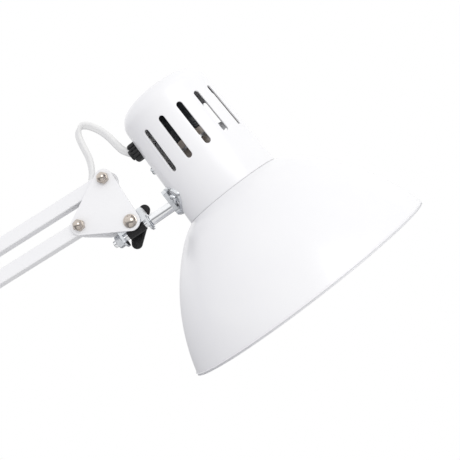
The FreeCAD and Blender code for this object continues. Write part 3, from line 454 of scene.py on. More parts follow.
FINISHES = {
    Stock.WHITE_PAINT: Finish("white_enamel", (0.86, 0.86, 0.87), (0.84, 0.84, 0.855), 0.30, 0.03,
                              coat=0.25, coat_rough=0.12, mottle=25, grain=1400, depth=0.03),
    Stock.ZINC: Finish("bright_zinc", (0.72, 0.74, 0.76), (0.60, 0.62, 0.65), 0.26, 0.08, metallic=1.0,
                       mottle=350, grain=2500, depth=0.05),
    Stock.NICKEL: Finish("polished_nickel", (0.60, 0.54, 0.49), (0.50, 0.45, 0.40), 0.14, 0.04,
                         metallic=1.0, mottle=300, grain=3000, depth=0.02),
    Stock.STEEL: Finish("ground_steel", (0.86, 0.87, 0.88), (0.80, 0.81, 0.83), 0.13, 0.03, metallic=1.0,
                        mottle=500, grain=2600, depth=0.02),
    Stock.SPRING_STEEL: Finish("spring_wire", (0.55, 0.56, 0.58), (0.42, 0.43, 0.45), 0.30, 0.08,
                               metallic=1.0, mottle=400, grain=2600, depth=0.05),
    Stock.BLACK_PLASTIC: Finish("black_moulding", (0.012, 0.012, 0.013), (0.008, 0.008, 0.009), 0.42, 0.06,
                                mottle=200, grain=3200, depth=0.10, specular=0.3),
    Stock.SLATE: Finish("slate_phenolic", (0.055, 0.060, 0.066), (0.040, 0.044, 0.050), 0.32, 0.05,
                        mottle=90, grain=1800, depth=0.04),
    Stock.PORCELAIN: Finish("glazed_porcelain", (0.55, 0.48, 0.42), (0.50, 0.43, 0.37), 0.25, 0.05,
                            coat=0.4, mottle=120, grain=900, depth=0.04),
    Stock.RUBBER: Finish("black_rubber", (0.010, 0.010, 0.011), (0.007, 0.007, 0.008), 0.50, 0.08,
                         mottle=300, grain=3600, depth=0.16),
    Stock.FLEX: Finish("white_vinyl", (0.82, 0.82, 0.81), (0.78, 0.78, 0.78), 0.45, 0.05, mottle=140,
                       grain=2200, depth=0.05),
    Stock.WHITE_PLASTIC: Finish("white_moulding", (0.84, 0.84, 0.83), (0.81, 0.81, 0.80), 0.33, 0.04,
                                mottle=120, grain=2400, depth=0.06),
    Stock.BULB_GLASS: Finish("pearl_glass", (0.88, 0.88, 0.86), (0.84, 0.84, 0.83), 0.20, 0.03, coat=0.6,
                             coat_rough=0.05, mottle=60, grain=700, depth=0.02, subsurface=0.3),
    Stock.BULB_SHELL: Finish("rolled_shell", (0.74, 0.74, 0.75), (0.62, 0.62, 0.64), 0.28, 0.06,
                             metallic=1.0, mottle=260, grain=1500, depth=0.05),
    Stock.BRASS: Finish("polished_brass", (0.83, 0.64, 0.32), (0.76, 0.57, 0.27), 0.24, 0.06, metallic=1.0,
                        mottle=200, grain=2000, depth=0.04),
}


class Shop:
    """Holds each finish's material once, and dresses pieces and CAD nodes with them."""

    def __init__(self) -> None:
        """Builds every material."""
        self.materials = {stock: finish.build() for stock, finish in FINISHES.items()}

    def dress(self, obj: bpy.types.Object, stock: Stock) -> None:
        """Gives an object one finish."""
        obj.data.materials.clear()
        obj.data.materials.append(self.materials[stock])

    def finish(self, obj: bpy.types.Object, stock: Stock, body: str, *nodes: str) -> bpy.types.Object:
        """Dresses a new piece, sets it on its body and hides the CAD nodes it stands for.

        Args:
            obj: the piece, in place.
            stock: its material.
            body: the CAD body it moves with.
            nodes: CAD nodes that it replaces.

        Returns:
            The same object.
        """
        self.dress(obj, stock)
        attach(obj, body)
        if nodes:
            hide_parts(*nodes)
        LOG.info("%s rides on %s, %d faces", obj.name, body, len(obj.data.polygons))
        return obj

    def ease(self, stock: Stock, width: float, *nodes: str) -> None:
        """Shows a copy of each CAD node with its edges rounded: its triangles are merged into flat
        faces, and every edge sharper than 40 degrees is bevelled.

        Args:
            stock: the copies' material.
            width: the bevel's width, in millimetres.
            nodes: the CAD nodes.
        """
        bodies = frame["record"]["behaviour"]["bodies"]
        for node in nodes:
            mesh = frame["nodes"][node].data.copy()
            work = bmesh.new()
            work.from_mesh(mesh)
            bmesh.ops.remove_doubles(work, verts=work.verts, dist=1e-6)
            bmesh.ops.dissolve_limit(work, angle_limit=FLAT_ANGLE, verts=work.verts, edges=work.edges)
            bmesh.ops.recalc_face_normals(work, faces=work.faces)
            work.to_mesh(mesh)
            work.free()
            obj = bpy.data.objects.new(node + "_eased", mesh)
            bpy.context.scene.collection.objects.link(obj)
            bevel = obj.modifiers.new("edges", "BEVEL")
            bevel.width, bevel.segments, bevel.limit_method = width * MM, 2, "ANGLE"
            bevel.angle_limit = EDGE_ANGLE
            mesh.shade_smooth()
            mesh.set_sharp_from_angle(angle=SMOOTH_ANGLE)
            body = next(name for name, held in bodies.items() if node in held)
            self.finish(obj, stock, body, node)

    def keep(self, stock: Stock, *nodes: str) -> None:
        """Dresses CAD nodes whose own shape is shown.

        Args:
            stock: the nodes' material.
            nodes: the CAD nodes.
        """
        for node in nodes:
            obj = frame["nodes"][node]
            obj.data.materials.clear()
            obj.data.materials.append(self.materials[stock])
            LOG.info("%s kept from the frame in %s", node, stock.value)


# ---------------------------------------------------------------- cord
def from_place(origin: Vector, steps: list[tuple[float, float, float]]) -> list[Vector]:
    """Points given in millimetres from an origin, as vectors in metres."""
    return [origin + Vector(step) * MM for step in steps]


def along_bar(start: Vector, way: Vector, distance: float, lift: float) -> Vector:
    """Point beside an arm's tube, in metres: a distance along it and a lift to its upper left."""
    return start + way * distance * MM + Vector((-way.z, 0, way.x)) * lift * MM


def nurbs_line(name: str, route: list[Vector], resolution: int = 8) -> bpy.types.Curve:
    """Open NURBS spline with the route's points as its control points.

    Args:
        name: the curve's name.
        route: its control points.
        resolution: points for each control point.

    Returns:
        The new curve.
    """
    curve = bpy.data.curves.new(name, "CURVE")
    curve.dimensions = "3D"
    spline = curve.splines.new("NURBS")
    spline.points.add(len(route) - 1)
    spline.points.foreach_set("co", np.array([(*p, 1.0) for p in route]).ravel())
    spline.order_u = 3
    spline.use_endpoint_u = True
    spline.resolution_u = resolution
    return curve


def spline_points(name: str, route: list[Vector], resolution: int = 8) -> Array:
    """Points of the route's smooth line.

    Args:
        name: name for the helper curve.
        route: control points.
        resolution: points for each control point.

    Returns:
        An (n, 3) array.
    """
    helper = bpy.data.objects.new(name + "_line", nurbs_line(name + "_line", route, resolution))
    mesh = bpy.data.meshes.new_from_object(helper)
    points = np.empty(len(mesh.vertices) * 3)
    mesh.vertices.foreach_get("co", points)
    bpy.data.meshes.remove(mesh)
    bpy.data.objects.remove(helper)
    points = points.reshape(-1, 3)
    kept = np.concatenate([[True], np.linalg.norm(np.diff(points, axis=0), axis=1) > 1e-6])
    return points[kept]


@dataclass
class Flex:
    """Flat two-core flex: its sizes and its section."""

    width: float = 5.4 * MM
    thick: float = 3.2 * MM
    groove: float = 0.2 * MM

    def section(self, count: int = 28) -> Array:
        """Oval with full ends and a shallow groove down the middle of both faces.

        A superellipse of power 2.6 gives the oval, and a narrow bell curve about the middle takes
        the groove out of its height.

        Args:
            count: points round the section.

        Returns:
            A (count, 2) array, wide direction first.
        """
        angle = np.arange(count) * TAU / count
        cos, sin = np.cos(angle), np.sin(angle)
        x = self.width / 2 * np.sign(cos) * np.abs(cos) ** (2 / 2.6)
        y = self.thick / 2 * np.sign(sin) * np.abs(sin) ** (2 / 2.6)
        y -= np.sign(sin) * self.groove * np.exp(-(x / (0.55 * MM)) ** 2)
        return np.stack([x, y], axis=-1)

    def tube(self, name: str, points: Array, wide: Array) -> bpy.types.Object:
        """Flex along a line, with closed ends."""
        return Shell(name).add(capped(along(points, self.section(), wide))).done(crease=60)


@dataclass
class HeldCord:
    """The cord where the lamp holds it: loops at the head, the elbow and the shoulder."""

    shop: Shop
    flex: Flex = field(default_factory=Flex)
    clip_elbow: Vector = field(default_factory=lambda: ELBOW_A + Vector((2.5, 0, 43.0)) * MM)
    clip_way: Vector = field(default_factory=lambda: Vector((0.36, 0, 0.933)))
    clip_base: Vector = field(default_factory=lambda: Vector((-30.0, 14.0, 18.0)) * MM)
    head_lean: tuple[float, float, float] = (0.62, -0.55, 0.56)
    head_cuts: tuple[float, ...] = (0, 0.62, 0.80, 1)

    def head_route(self) -> list[Vector]:
        """Route from inside the upper bar, up and over to the strain relief.

        Returns:
            The loop's control points.
        """
        mouth = HEAD @ Vector((RELIEF_FACE * MM, 0, RELIEF_HEIGHT * MM))
        start = [along_bar(END_TOP, UPPER_DIR, d, lift) for d,
                 lift in ((-24.0, 0.6), (-15.5, 0.6), (-7.5, 5.8))]
        free = from_place(END_TOP, [(-10.9, -0.3, 13.4), (-17.2, -1.0, 24.5), (-20.4, -1.6, 32.4),
                                    (-16.4, -2.0, 37.6), (-7.0, -3.0, 34.4), (1.6, -4.6, 28.8),
                                    (8.6, -6.2, 21.6), (14.4, -7.3, 16.4)])
        return start + free + [mouth]

    def elbow_route(self) -> list[Vector]:
        """Route from inside the rear lower bar, round the elbow's clip and into the upper bar.

        Returns:
            The loop's control points.
        """
        low = [along_bar(ELBOW_A, LOWER_DIR, d, lift) for d,
               lift in ((-50.0, 0.6), (-40.0, 0.6), (-27.0, 8.0))]
        side = from_place(ELBOW_A, [(-14.5, 0, -7.0), (-13.0, 0, 12.0), (-4.5, 0, 27.0)])
        clip = [self.clip_elbow + self.clip_way * 8.0 * MM]
        over = from_place(ELBOW_A, [(17.0, 0, 72.0), (30.0, 0, 86.5), (48.5, 0, 91.0)])
        high = [along_bar(ELBOW_TOP, UPPER_DIR, d, lift) for d,
                lift in ((33.0, 9.5), (47.0, 0.6), (58.0, 0.6))]
        return low + side + clip + over + high

    def base_route(self) -> list[Vector]:
        """Route from inside the rear lower bar down to the clip on the shoulder bracket.

        Returns:
            The loop's control points.
        """
        low = [along_bar(SHOULDER_A, LOWER_DIR, d, lift) for d,
               lift in ((70.0, 0.6), (60.0, 0.6), (47.0, 7.0))]
        round_post = from_place(SHOULDER_A, [(-28.0, 4.0, 28.0), (-33.0, 13.0, 12.0), (-27.0, 20.5, -3.0),
                                             (-12.0, 22.0, -10.5), (4.0, 16.5, -9.5)])
        clip = [self.clip_base + Vector((x, 0, 0)) * MM for x in (-5.0, 3.5)]
        return low + round_post + clip

    def piece(self, name: str, points: Array, wide: Array, a: str, b: str, bend: tuple[int, int],
              *nodes: str) -> None:
        """One length of held cord that runs between two bodies.

        Args:
            name: the piece's name.
            points: its line.
            wide: the flex's wide direction, one or one for each point.
            a: body at its start.
            b: body at its end.
            bend: numbers of the points where the bend starts and ends; not used.
            nodes: CAD nodes it stands for.
        """
        tube = self.flex.tube(name, points, wide)
        self.shop.dress(tube, Stock.FLEX)
        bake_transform(tube)
        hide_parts(*nodes)
        LOG.info("%s bends between %s and %s", name, a, b)

    def build(self) -> None:
        """Builds the three loops, split where they pass from one pair of bodies to the next."""
        line = spline_points("head_loop", self.head_route())
        wide = np.array(Vector(self.head_lean).normalized())
        cut = [int((len(line) - 1) * share) for share in self.head_cuts]
        lengths = (("head_loop_arm", "upper_top", "end", 0.45), ("head_loop_top", "end", "yoke", 0.1),
                   ("head_loop_head", "yoke", "head", 0.1))
        for (name, a, b, start), first, last in zip(lengths, cut, cut[1:]):
            part = line[first:last + 1]
            self.piece(name, part, wide, a, b, (int(len(part) * start), len(part) - 2), "head_loop")
        line = spline_points("elbow_loop", self.elbow_route())
        flat = np.array((0.0, 1.0, 0.0))
        clip = int(np.argmin(np.linalg.norm(line - np.array(self.clip_elbow), axis=1)))
        self.piece("elbow_loop_low", line[:clip + 1], flat, "lower_rear", "elbow", (4, clip - 3),
                   "elbow_loop")
        high = line[clip:]
        self.piece("elbow_loop_high", high, flat, "elbow", "upper_top", (6, len(high) - 5), "elbow_loop")
        line = spline_points("base_loop", self.base_route())
        self.piece("base_loop_cord", line, flat, "lower_rear", "turret", (4, len(line) - 8), "base_loop")


@dataclass
class FreeLead:
    """The free lead: clip, along the desk to its switch, a put-away coil, and its plug."""

    shop: Shop
    held: HeldCord
    flex: Flex = field(default_factory=Flex)
    switch_y: float = 44.0
    coil_centre: tuple[float, float] = (255.0, -12.0)
    coil_radii: tuple[float, float] = (23.4, 31.6)
    turns: int = 8
    steps: int = 14
    settles: tuple[float, float, float] = (46.0, 37.0, 2.6)
    before_coil: int = 200

    def to_coil(self) -> list[Vector]:
        """Route from the clip along the desk, through the switch, to the coil's edge.

        Returns:
            The lead's control points up to the coil.
        """
        clip = [self.held.clip_base + Vector((x, 0, 0)) * MM for x in (-2.0, 3.5, 14.0)]
        straight = [(x, self.switch_y, 2.6) for x in (126.0, 136.0, 190.0, 200.0)]
        desk = from_place(Vector(), [(0.0, 17.5, 15.0), (13.0, 26.0, 9.5), (28.0, 33.0, 3.6), self.settles,
                                     (68.0, 34.0, 2.6), (90.0, 36.0, 2.6), (112.0, 43.0, 2.6), *straight,
                                     (216.0, 41.0, 2.6), (231.0, 32.0, 2.6), (244.0, 25.8, 2.6)])
        return clip + desk

    def coil(self) -> list[Vector]:
        """Turns of the put-away coil, wound by a loop: each turn takes the next place in a
        bundle two wide and four high, and drifts into it over its own length.

        Returns:
            The coil's control points.
        """
        points = []
        count = self.turns * self.steps + self.steps // 2
        low, high = self.coil_radii
        for i in range(count):
            turn = i / self.steps
            layer, column = turn / 2, 0.5 - 0.5 * math.cos(math.pi * turn)
            radius = high - (high - low) * column
            height = 2.7 + 3.2 * min(layer, 3.7) + 0.3 * math.sin(3.1 * turn)
            angle = math.radians(90 - 360 * turn)
            points.append(Vector((self.coil_centre[0] + radius * math.cos(angle),
                                  self.coil_centre[1] + radius * math.sin(angle), height)) * MM)
        return points

    def to_plug(self) -> list[Vector]:
        """Route off the coil to the plug."""
        return from_place(Vector(), [(266.0, -49.2, 5.2), (281.0, -46.5, 3.2), (296.0, -44.8, 4.6),
                                     (309.0, -44.5, 9.0), (318.0, -44.5, 9.0)])

    def build(self, switch: list[bpy.types.Object], plug: list[bpy.types.Object]) -> None:
        """Args:
            switch: the switch's pieces; not used.
            plug: the plug's pieces; not used.
        """
        line = spline_points("lead", self.to_coil() + self.coil() + self.to_plug(), 5)
        run = np.gradient(line, axis=0)
        run /= np.linalg.norm(run, axis=1)[:, None]
        level = np.cross(run, np.array((0.0, 0.0, 1.0)))
        lead = self.flex.tube("lead", line, level)
        self.shop.dress(lead, Stock.FLEX)
        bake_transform(lead)
        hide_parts("lead_to_switch", "lead_to_coil", "cord_coil", "lead_to_plug")


# ---------------------------------------------------------------- head
@dataclass
class Shade:
    """Spun bell: a thin bowl on one long arc, with a rolled rim and a flange under the cap."""

    shop: Shop
    bowl: tuple[float, float] = (-41.4, -108.4)
    bowl_radius: float = 132.9
    sheet: float = 0.9
    around: int = 192

    def profile(self) -> Array:
        """Closed outline in millimetres: round the rolled rim with the groove under its bead, up
        the outer arc, over the neck and the flange, and down the inner arc, which is the outer one
        less the sheet's thickness.

        Returns:
            An (n, 2) array of radius and height in metres.
        """
        bead = eased([(86.3, -75.1, 0), (85.95, -75.9, 0.4), (86.1, -76.95, 0.35), (87.75, -76.95, 0.12),
                      (87.75, -76.7, 0.1), (86.6, -76.6, 0.15), (86.6, -75.8, 0.25), (87.95, -75.7, 0.25),
                      (87.95, -75.1, 0.4), (87.3, -75.1, 0)], 6)[:-1]
        outer = arc(self.bowl, self.bowl_radius, 14.5, 50.0, 48)
        neck = eased([(43.9, -6.5, 0), (39.2, -3.1, 2.4), (34.3, -0.5, 0.4), (33.2, -0.06, 0.3),
                      (24.0, -0.06, 0.2), (24.0, -1.2, 0.2), (33.6, -1.4, 0.4), (38.8, -4.2, 2.0),
                      (43.4, -7.4, 0)])
        inner = arc(self.bowl, self.bowl_radius - self.sheet, 49.7, 14.6, 48)
        return np.concatenate([bead, outer, neck[1:-1], inner]) * MM

    def build(self) -> None:
        """Turns the outline about the head's axis."""
        bell = Shell("shade_bell").add(lathe(self.profile(), self.around), wrap_rows=True, place=HEAD).done()
        self.shop.finish(bell, Stock.WHITE_PAINT, "head", "shade")


@dataclass
class Cap:
    """Ventilated drum with a rounded top and a ring of upright slots, sizes in millimetres."""

    shop: Shop
    foot: float = 33.4
    shoulder: float = 31.2
    wall_top: float = 69.0
    edge: float = 11.0
    sheet: float = 0.9
    slots: int = 11
    step: float = 25.2
    mean: float = 32.0
    half_width: float = 2.0
    half_straight: float = 13.5
    window: tuple[float, float] = (25.0, 65.0)
    side_steps: int = 16
    end_steps: int = 12
    plain_steps: int = 36

    def radius(self, z: Array | float) -> Array | float:
        """Outer radius at a height: falls evenly from the foot to the shoulder."""
        return self.foot + (self.shoulder - self.foot) * z / self.wall_top

    def wall(self, flat: Array, depth: float) -> Array:
        """Points of the wall: distance round over the mean radius gives the angle, and the radius
        is the wall's at that height less the depth.

        Args:
            flat: (n, 2) array of distance round and height.
            depth: how far in from the outer face.

        Returns:
            An (n, 3) array in millimetres.
        """
        angle, z = flat[:, 0] / self.mean, flat[:, 1]
        r = self.radius(z) - depth
        return np.stack([r * np.cos(angle), r * np.sin(angle), z], axis=-1)

    def outlines(self, grow: float) -> tuple[Array, Array]:
        """Window's rectangle and the slot's rounded outline, point for point.

        Sides match in proportion to height, and each end of the slot is a half circle whose angle
        runs evenly with the distance along the window's end.

        Args:
            grow: how far the slot's outline stands off its true size.

        Returns:
            Two (n, 2) arrays of distance round and height.
        """
        low, high = self.window
        middle, half = (low + high) / 2, (high - low) / 2
        reach = math.radians(self.step / 2) * self.mean
        width = self.half_width + grow
        side, end = np.linspace(-1, 1, self.side_steps + 1)[:-1], np.linspace(1, -1, self.end_steps + 1)[:-1]
        turn = math.pi / 2 * (1 - end)
        rectangle = [(reach + 0 * side, half * side), (reach * end, half + 0 * end),
                     (-reach + 0 * side, -half * side), (-reach * end, -half + 0 * end)]
        slot = [(width + 0 * side, self.half_straight * side),
                (width * np.cos(turn), self.half_straight + width * np.sin(turn)),
                (-width + 0 * side, -self.half_straight * side),
                (-width * np.cos(turn), -self.half_straight - width * np.sin(turn))]
        shift = np.array((0.0, middle))
        return (np.concatenate([np.stack(part, axis=-1) for part in rectangle]) + shift,
                np.concatenate([np.stack(part, axis=-1) for part in slot]) + shift)

    def slotted(self) -> Array:
        """Window with its slot: outer face, eased edge, the slot's wall and the inner face.

        Returns:
            A grid of points in metres.
        """
        rows = []
        rectangle, slot = self.outlines(0.3)
        for t in (0.0, 0.3, 0.6, 0.85, 1.0):
            rows.append(self.wall(rectangle * (1 - t) + slot * t, 0.0))
        for grow, depth in ((0.09, 0.09), (0.0, 0.3), (0.0, self.sheet)):
            rows.append(self.wall(self.outlines(grow)[1], depth))
        slot = self.outlines(0.0)[1]
        for t in (0.7, 0.35, 0.0):
            rows.append(self.wall(rectangle * (1 - t) + slot * t, self.sheet))
        return np.stack(rows) * MM

    def build(self) -> None:
        """Joins the slotted windows, the plain part by the bracket, the foot and the top."""
        low, high = self.window
        first = 180 - self.step * (self.slots - 1) / 2
        centres = [first + self.step * i for i in range(self.slots)]
        half = self.step / 2
        plain = np.linspace(centres[-1] + half, 360 + centres[0] - half, self.plain_steps + 1)
        spans = [np.linspace(c - half, c + half, self.end_steps + 1)[:-1] for c in centres]
        ring = np.radians(np.concatenate(spans + [plain[:-1]]))
        shell = Shell("cap_drum")
        for centre in centres:
            shell.add(self.slotted(), place=HEAD @ Matrix.Rotation(math.radians(centre), 4, "Z"))
        z = np.linspace(low, high, self.side_steps + 1)
        for depth in (0.0, self.sheet):
            face = np.stack([self.radius(z) - depth, z], axis=-1) * MM
            shell.add(lathe(face, np.radians(plain)), wrap_cols=False, place=HEAD)
            top = self.wall_top + self.edge - depth
            bend = arc((self.shoulder - self.edge, self.wall_top), self.edge - depth, 0, 90, 16)
            crown = np.concatenate([[(self.radius(high) - depth, high)], bend, [(9.0, top), (0, top)]])
            shell.add(lathe(crown * MM, ring), place=HEAD)
        foot = eased([(self.radius(low), low, 0), (self.foot, 0, 0.3), (24.0, 0, 0.2),
                      (24.0, self.sheet, 0.2), (self.foot - self.sheet, self.sheet, 0.3),
                      (self.radius(low) - self.sheet, low, 0)])
        shell.add(lathe(foot * MM, ring), place=HEAD)
        self.shop.finish(shell.done(), Stock.WHITE_PAINT, "head", "cap")


def superellipse(half_x: float, half_y: float, power: float, count: int = 48) -> Array:
    """Outline whose x and y over their half sizes, each raised to the power, add up to one.

    Args:
        half_x: half the width.
        half_y: half the height.
        power: 2 gives an ellipse, and more gives squarer corners.
        count: points round the outline.

    Returns:
        A (count, 2) array.
    """
    angle = np.arange(count) * TAU / count
    cos, sin = np.cos(angle), np.sin(angle)
    return np.stack([half_x * np.sign(cos) * np.abs(cos) ** (2 / power),
                     half_y * np.sign(sin) * np.abs(sin) ** (2 / power)], axis=-1)


def pan_head(radius: float, height: float, slot: float = 0.0) -> Array:
    """Low rounded screw head; a slot across it is a narrow bell curve taken out of its height.

    Args:
        radius: the head's radius, in millimetres.
        height: the head's height.
        slot: depth of the slot.

    Returns:
        A grid of points in metres, standing on z = 0.
    """
    side = eased([(0, 0, 0), (radius, 0, 0.1), (radius, height * 0.45, height * 0.3),
                  (radius * 0.72, height, 0.5), (radius * 0.3, height, 0.2), (0, height, 0)])
    grid = lathe(np.concatenate([side[:-1], np.linspace((radius * 0.28, height), (0, height), 5)]), 64)
    raised = grid[..., 2] > height * 0.8
    grid[..., 2] -= slot * raised * np.exp(-(grid[..., 0] / 0.45) ** 4)
    return grid * MM


@dataclass
class HeadFittings:
    """What is fixed to the cap: strain relief, screws, and the lampholder and bulb inside."""

    shop: Shop
    relief_axis: float = 33.0
    relief_half: float = 6.2
    groove_half: float = 0.38
    grooves: tuple[float, ...] = (-3.7, -1.2, 1.3, 3.4)

    def out_of_cap(self, x: float, z: float, turn: float = 0.0) -> Matrix:
        """Frame on the cap's side, local +Z outwards, at a height and an angle about the axis."""
        side = HEAD @ Matrix.Rotation(math.radians(turn), 4, "Z") @ Matrix.Translation((x * MM, 0, z * MM))
        return side @ Matrix.Rotation(math.pi / 2, 4, "Y")

    def relief(self) -> None:
        """Ribbed rubber block: a rounded oblong section that is drawn in at its ends and at each
        groove, the groove being a bell curve of the height."""
        z = np.sin(np.linspace(-math.pi / 2, math.pi / 2, 71)) * self.relief_half
        ends = (1 - np.abs(z / self.relief_half) ** 6 * 0.999) ** (1 / 6)
        dips = sum(np.exp(-((z - g) / self.groove_half) ** 2) for g in self.grooves)
        scale = (ends * (1 - 0.13 * dips))[:, None, None]
        section = superellipse(3.9, 4.8, 3.6)
        flat = section[None] * scale
        grid = np.concatenate([flat, np.broadcast_to(z[:, None, None], flat.shape[:2] + (1,))], axis=-1)
        grid += np.array((self.relief_axis, 0.0, RELIEF_HEIGHT))
        block = Shell("relief_block").add(capped(grid * MM), place=HEAD)
        collar = eased([(2.2, 0, 0), (3.7, 0, 0.2), (3.5, 2.6, 0.5), (2.2, 2.8, 0)])
        block.add(lathe(collar * MM, 48), wrap_rows=True, place=self.out_of_cap(RELIEF_FACE, RELIEF_HEIGHT))
        self.shop.finish(block.done(), Stock.RUBBER, "head", "strain_relief")

    def screws(self) -> None:
        """Slotted strap screw, the bracket's two screws, and the flange screws below."""
        heads = Shell("cap_screw_heads")
        heads.add(pan_head(2.6, 1.7, 0.6), place=self.out_of_cap(31.9, 42.0))
        for side in (-26, 26):
            heads.add(pan_head(2.9, 1.9, 0.6), place=self.out_of_cap(34.3, 18.5, side))
        for turn in (60, 180, 300):
            round_axis = HEAD @ Matrix.Rotation(math.radians(turn), 4, "Z")
            under = round_axis @ Matrix.Translation((28 * MM, 0, -1.1 * MM))
            heads.add(pan_head(2.8, 1.4, 0.5), place=under @ Matrix.Rotation(math.pi, 4, "X"))
            heads.add(pan_head(2.6, 1.6), place=under @ Matrix.Translation((0, 0, 2.0 * MM)))
        self.shop.finish(heads.done(), Stock.ZINC, "head", "cap_screws")

    def lampholder(self) -> None:
        """Slate upper half with a ring of mouldings and the cord's port, and the beige skirt."""
        top = eased([(0, 44.1, 0), (18.2, 44.1, 0.3), (18.2, 46.0, 0.3), (17.4, 46.4, 0.2),
                     (17.4, 47.4, 0.2), (18.2, 47.8, 0.3), (18.2, 51.4, 1.2), (12.4, 59.0, 1.4),
                     (12.0, 65.5, 1.2), (0, 65.5, 0)])
        upper = Shell("lampholder_body").add(lathe(top * MM, 96), place=HEAD)
        port = eased([(2.6, 8.0, 0), (5.0, 8.0, 0.3), (4.6, 17.0, 0.7), (2.6, 17.0, 0)])
        upper.add(lathe(port * MM, 48), wrap_rows=True, place=self.out_of_cap(0.0, RELIEF_HEIGHT))
        self.shop.finish(upper.done(), Stock.SLATE, "head", "lampholder_top")
        skirt = eased([(13.6, 30.0, 0), (13.6, 4.0, 0.5), (20.0, 4.0, 0.9), (20.0, 12.0, 0.5),
                       (19.3, 12.8, 0.3), (20.0, 13.6, 0.5), (20.0, 29.6, 1.2), (18.2, 30.6, 0.6),
                       (18.2, 43.8, 0.5), (0, 43.8, 0), (0, 30.0, 0), (13.6, 30.0, 0)])
        lower = Shell("lampholder_sleeve").add(lathe(skirt[:-1] * MM, 96), wrap_rows=True, place=HEAD).done()
        self.shop.finish(lower, Stock.PORCELAIN, "head", "lampholder_skirt")

    def bulb(self) -> None:
        """Globe whose neck flows into it, and the rolled thread: its radius is a wave of the
        height that turns once round for each pitch."""
        neck = [(15.6, -13.8), (14.0, -9.0), (13.2, -3.0), (13.0, 2.4)]
        globe = np.concatenate([arc((0, -36.0), 25.0, -90, 44, 40), neck])
        glass = Shell("bulb_globe").add(lathe(np.concatenate([globe, [(0, 2.4)]]) * MM, 96),
                                        place=HEAD).done()
        self.shop.finish(glass, Stock.BULB_GLASS, "head", "bulb_glass")
        z, angle = np.linspace(3.0, 24.0, 64), np.arange(64) * TAU / 64
        r = 12.5 + 0.45 * np.sin(TAU * z[:, None] / 3.6 - angle)
        thread = np.stack([r * np.cos(angle), r * np.sin(angle), z[:, None] + 0 * angle], axis=-1)
        tip = lathe(np.array([(11.4, 25.2), (5.0, 28.6), (4.4, 29.0), (0, 29.2)]), 64)
        shell = Shell("bulb_thread").add(np.concatenate([thread[:1] * (0, 0, 1), thread, tip]) * MM,
                                         place=HEAD)
        self.shop.finish(shell.done(crease=50), Stock.BULB_SHELL, "head", "bulb_base")

    def build(self) -> None:
        """Builds every fitting."""
        self.relief()
        self.screws()
        self.lampholder()
        self.bulb()
        self.shop.keep(Stock.FLEX, "head_lead")
        self.shop.ease(Stock.ZINC, 0.2, "lampholder_strap", "head_bracket")


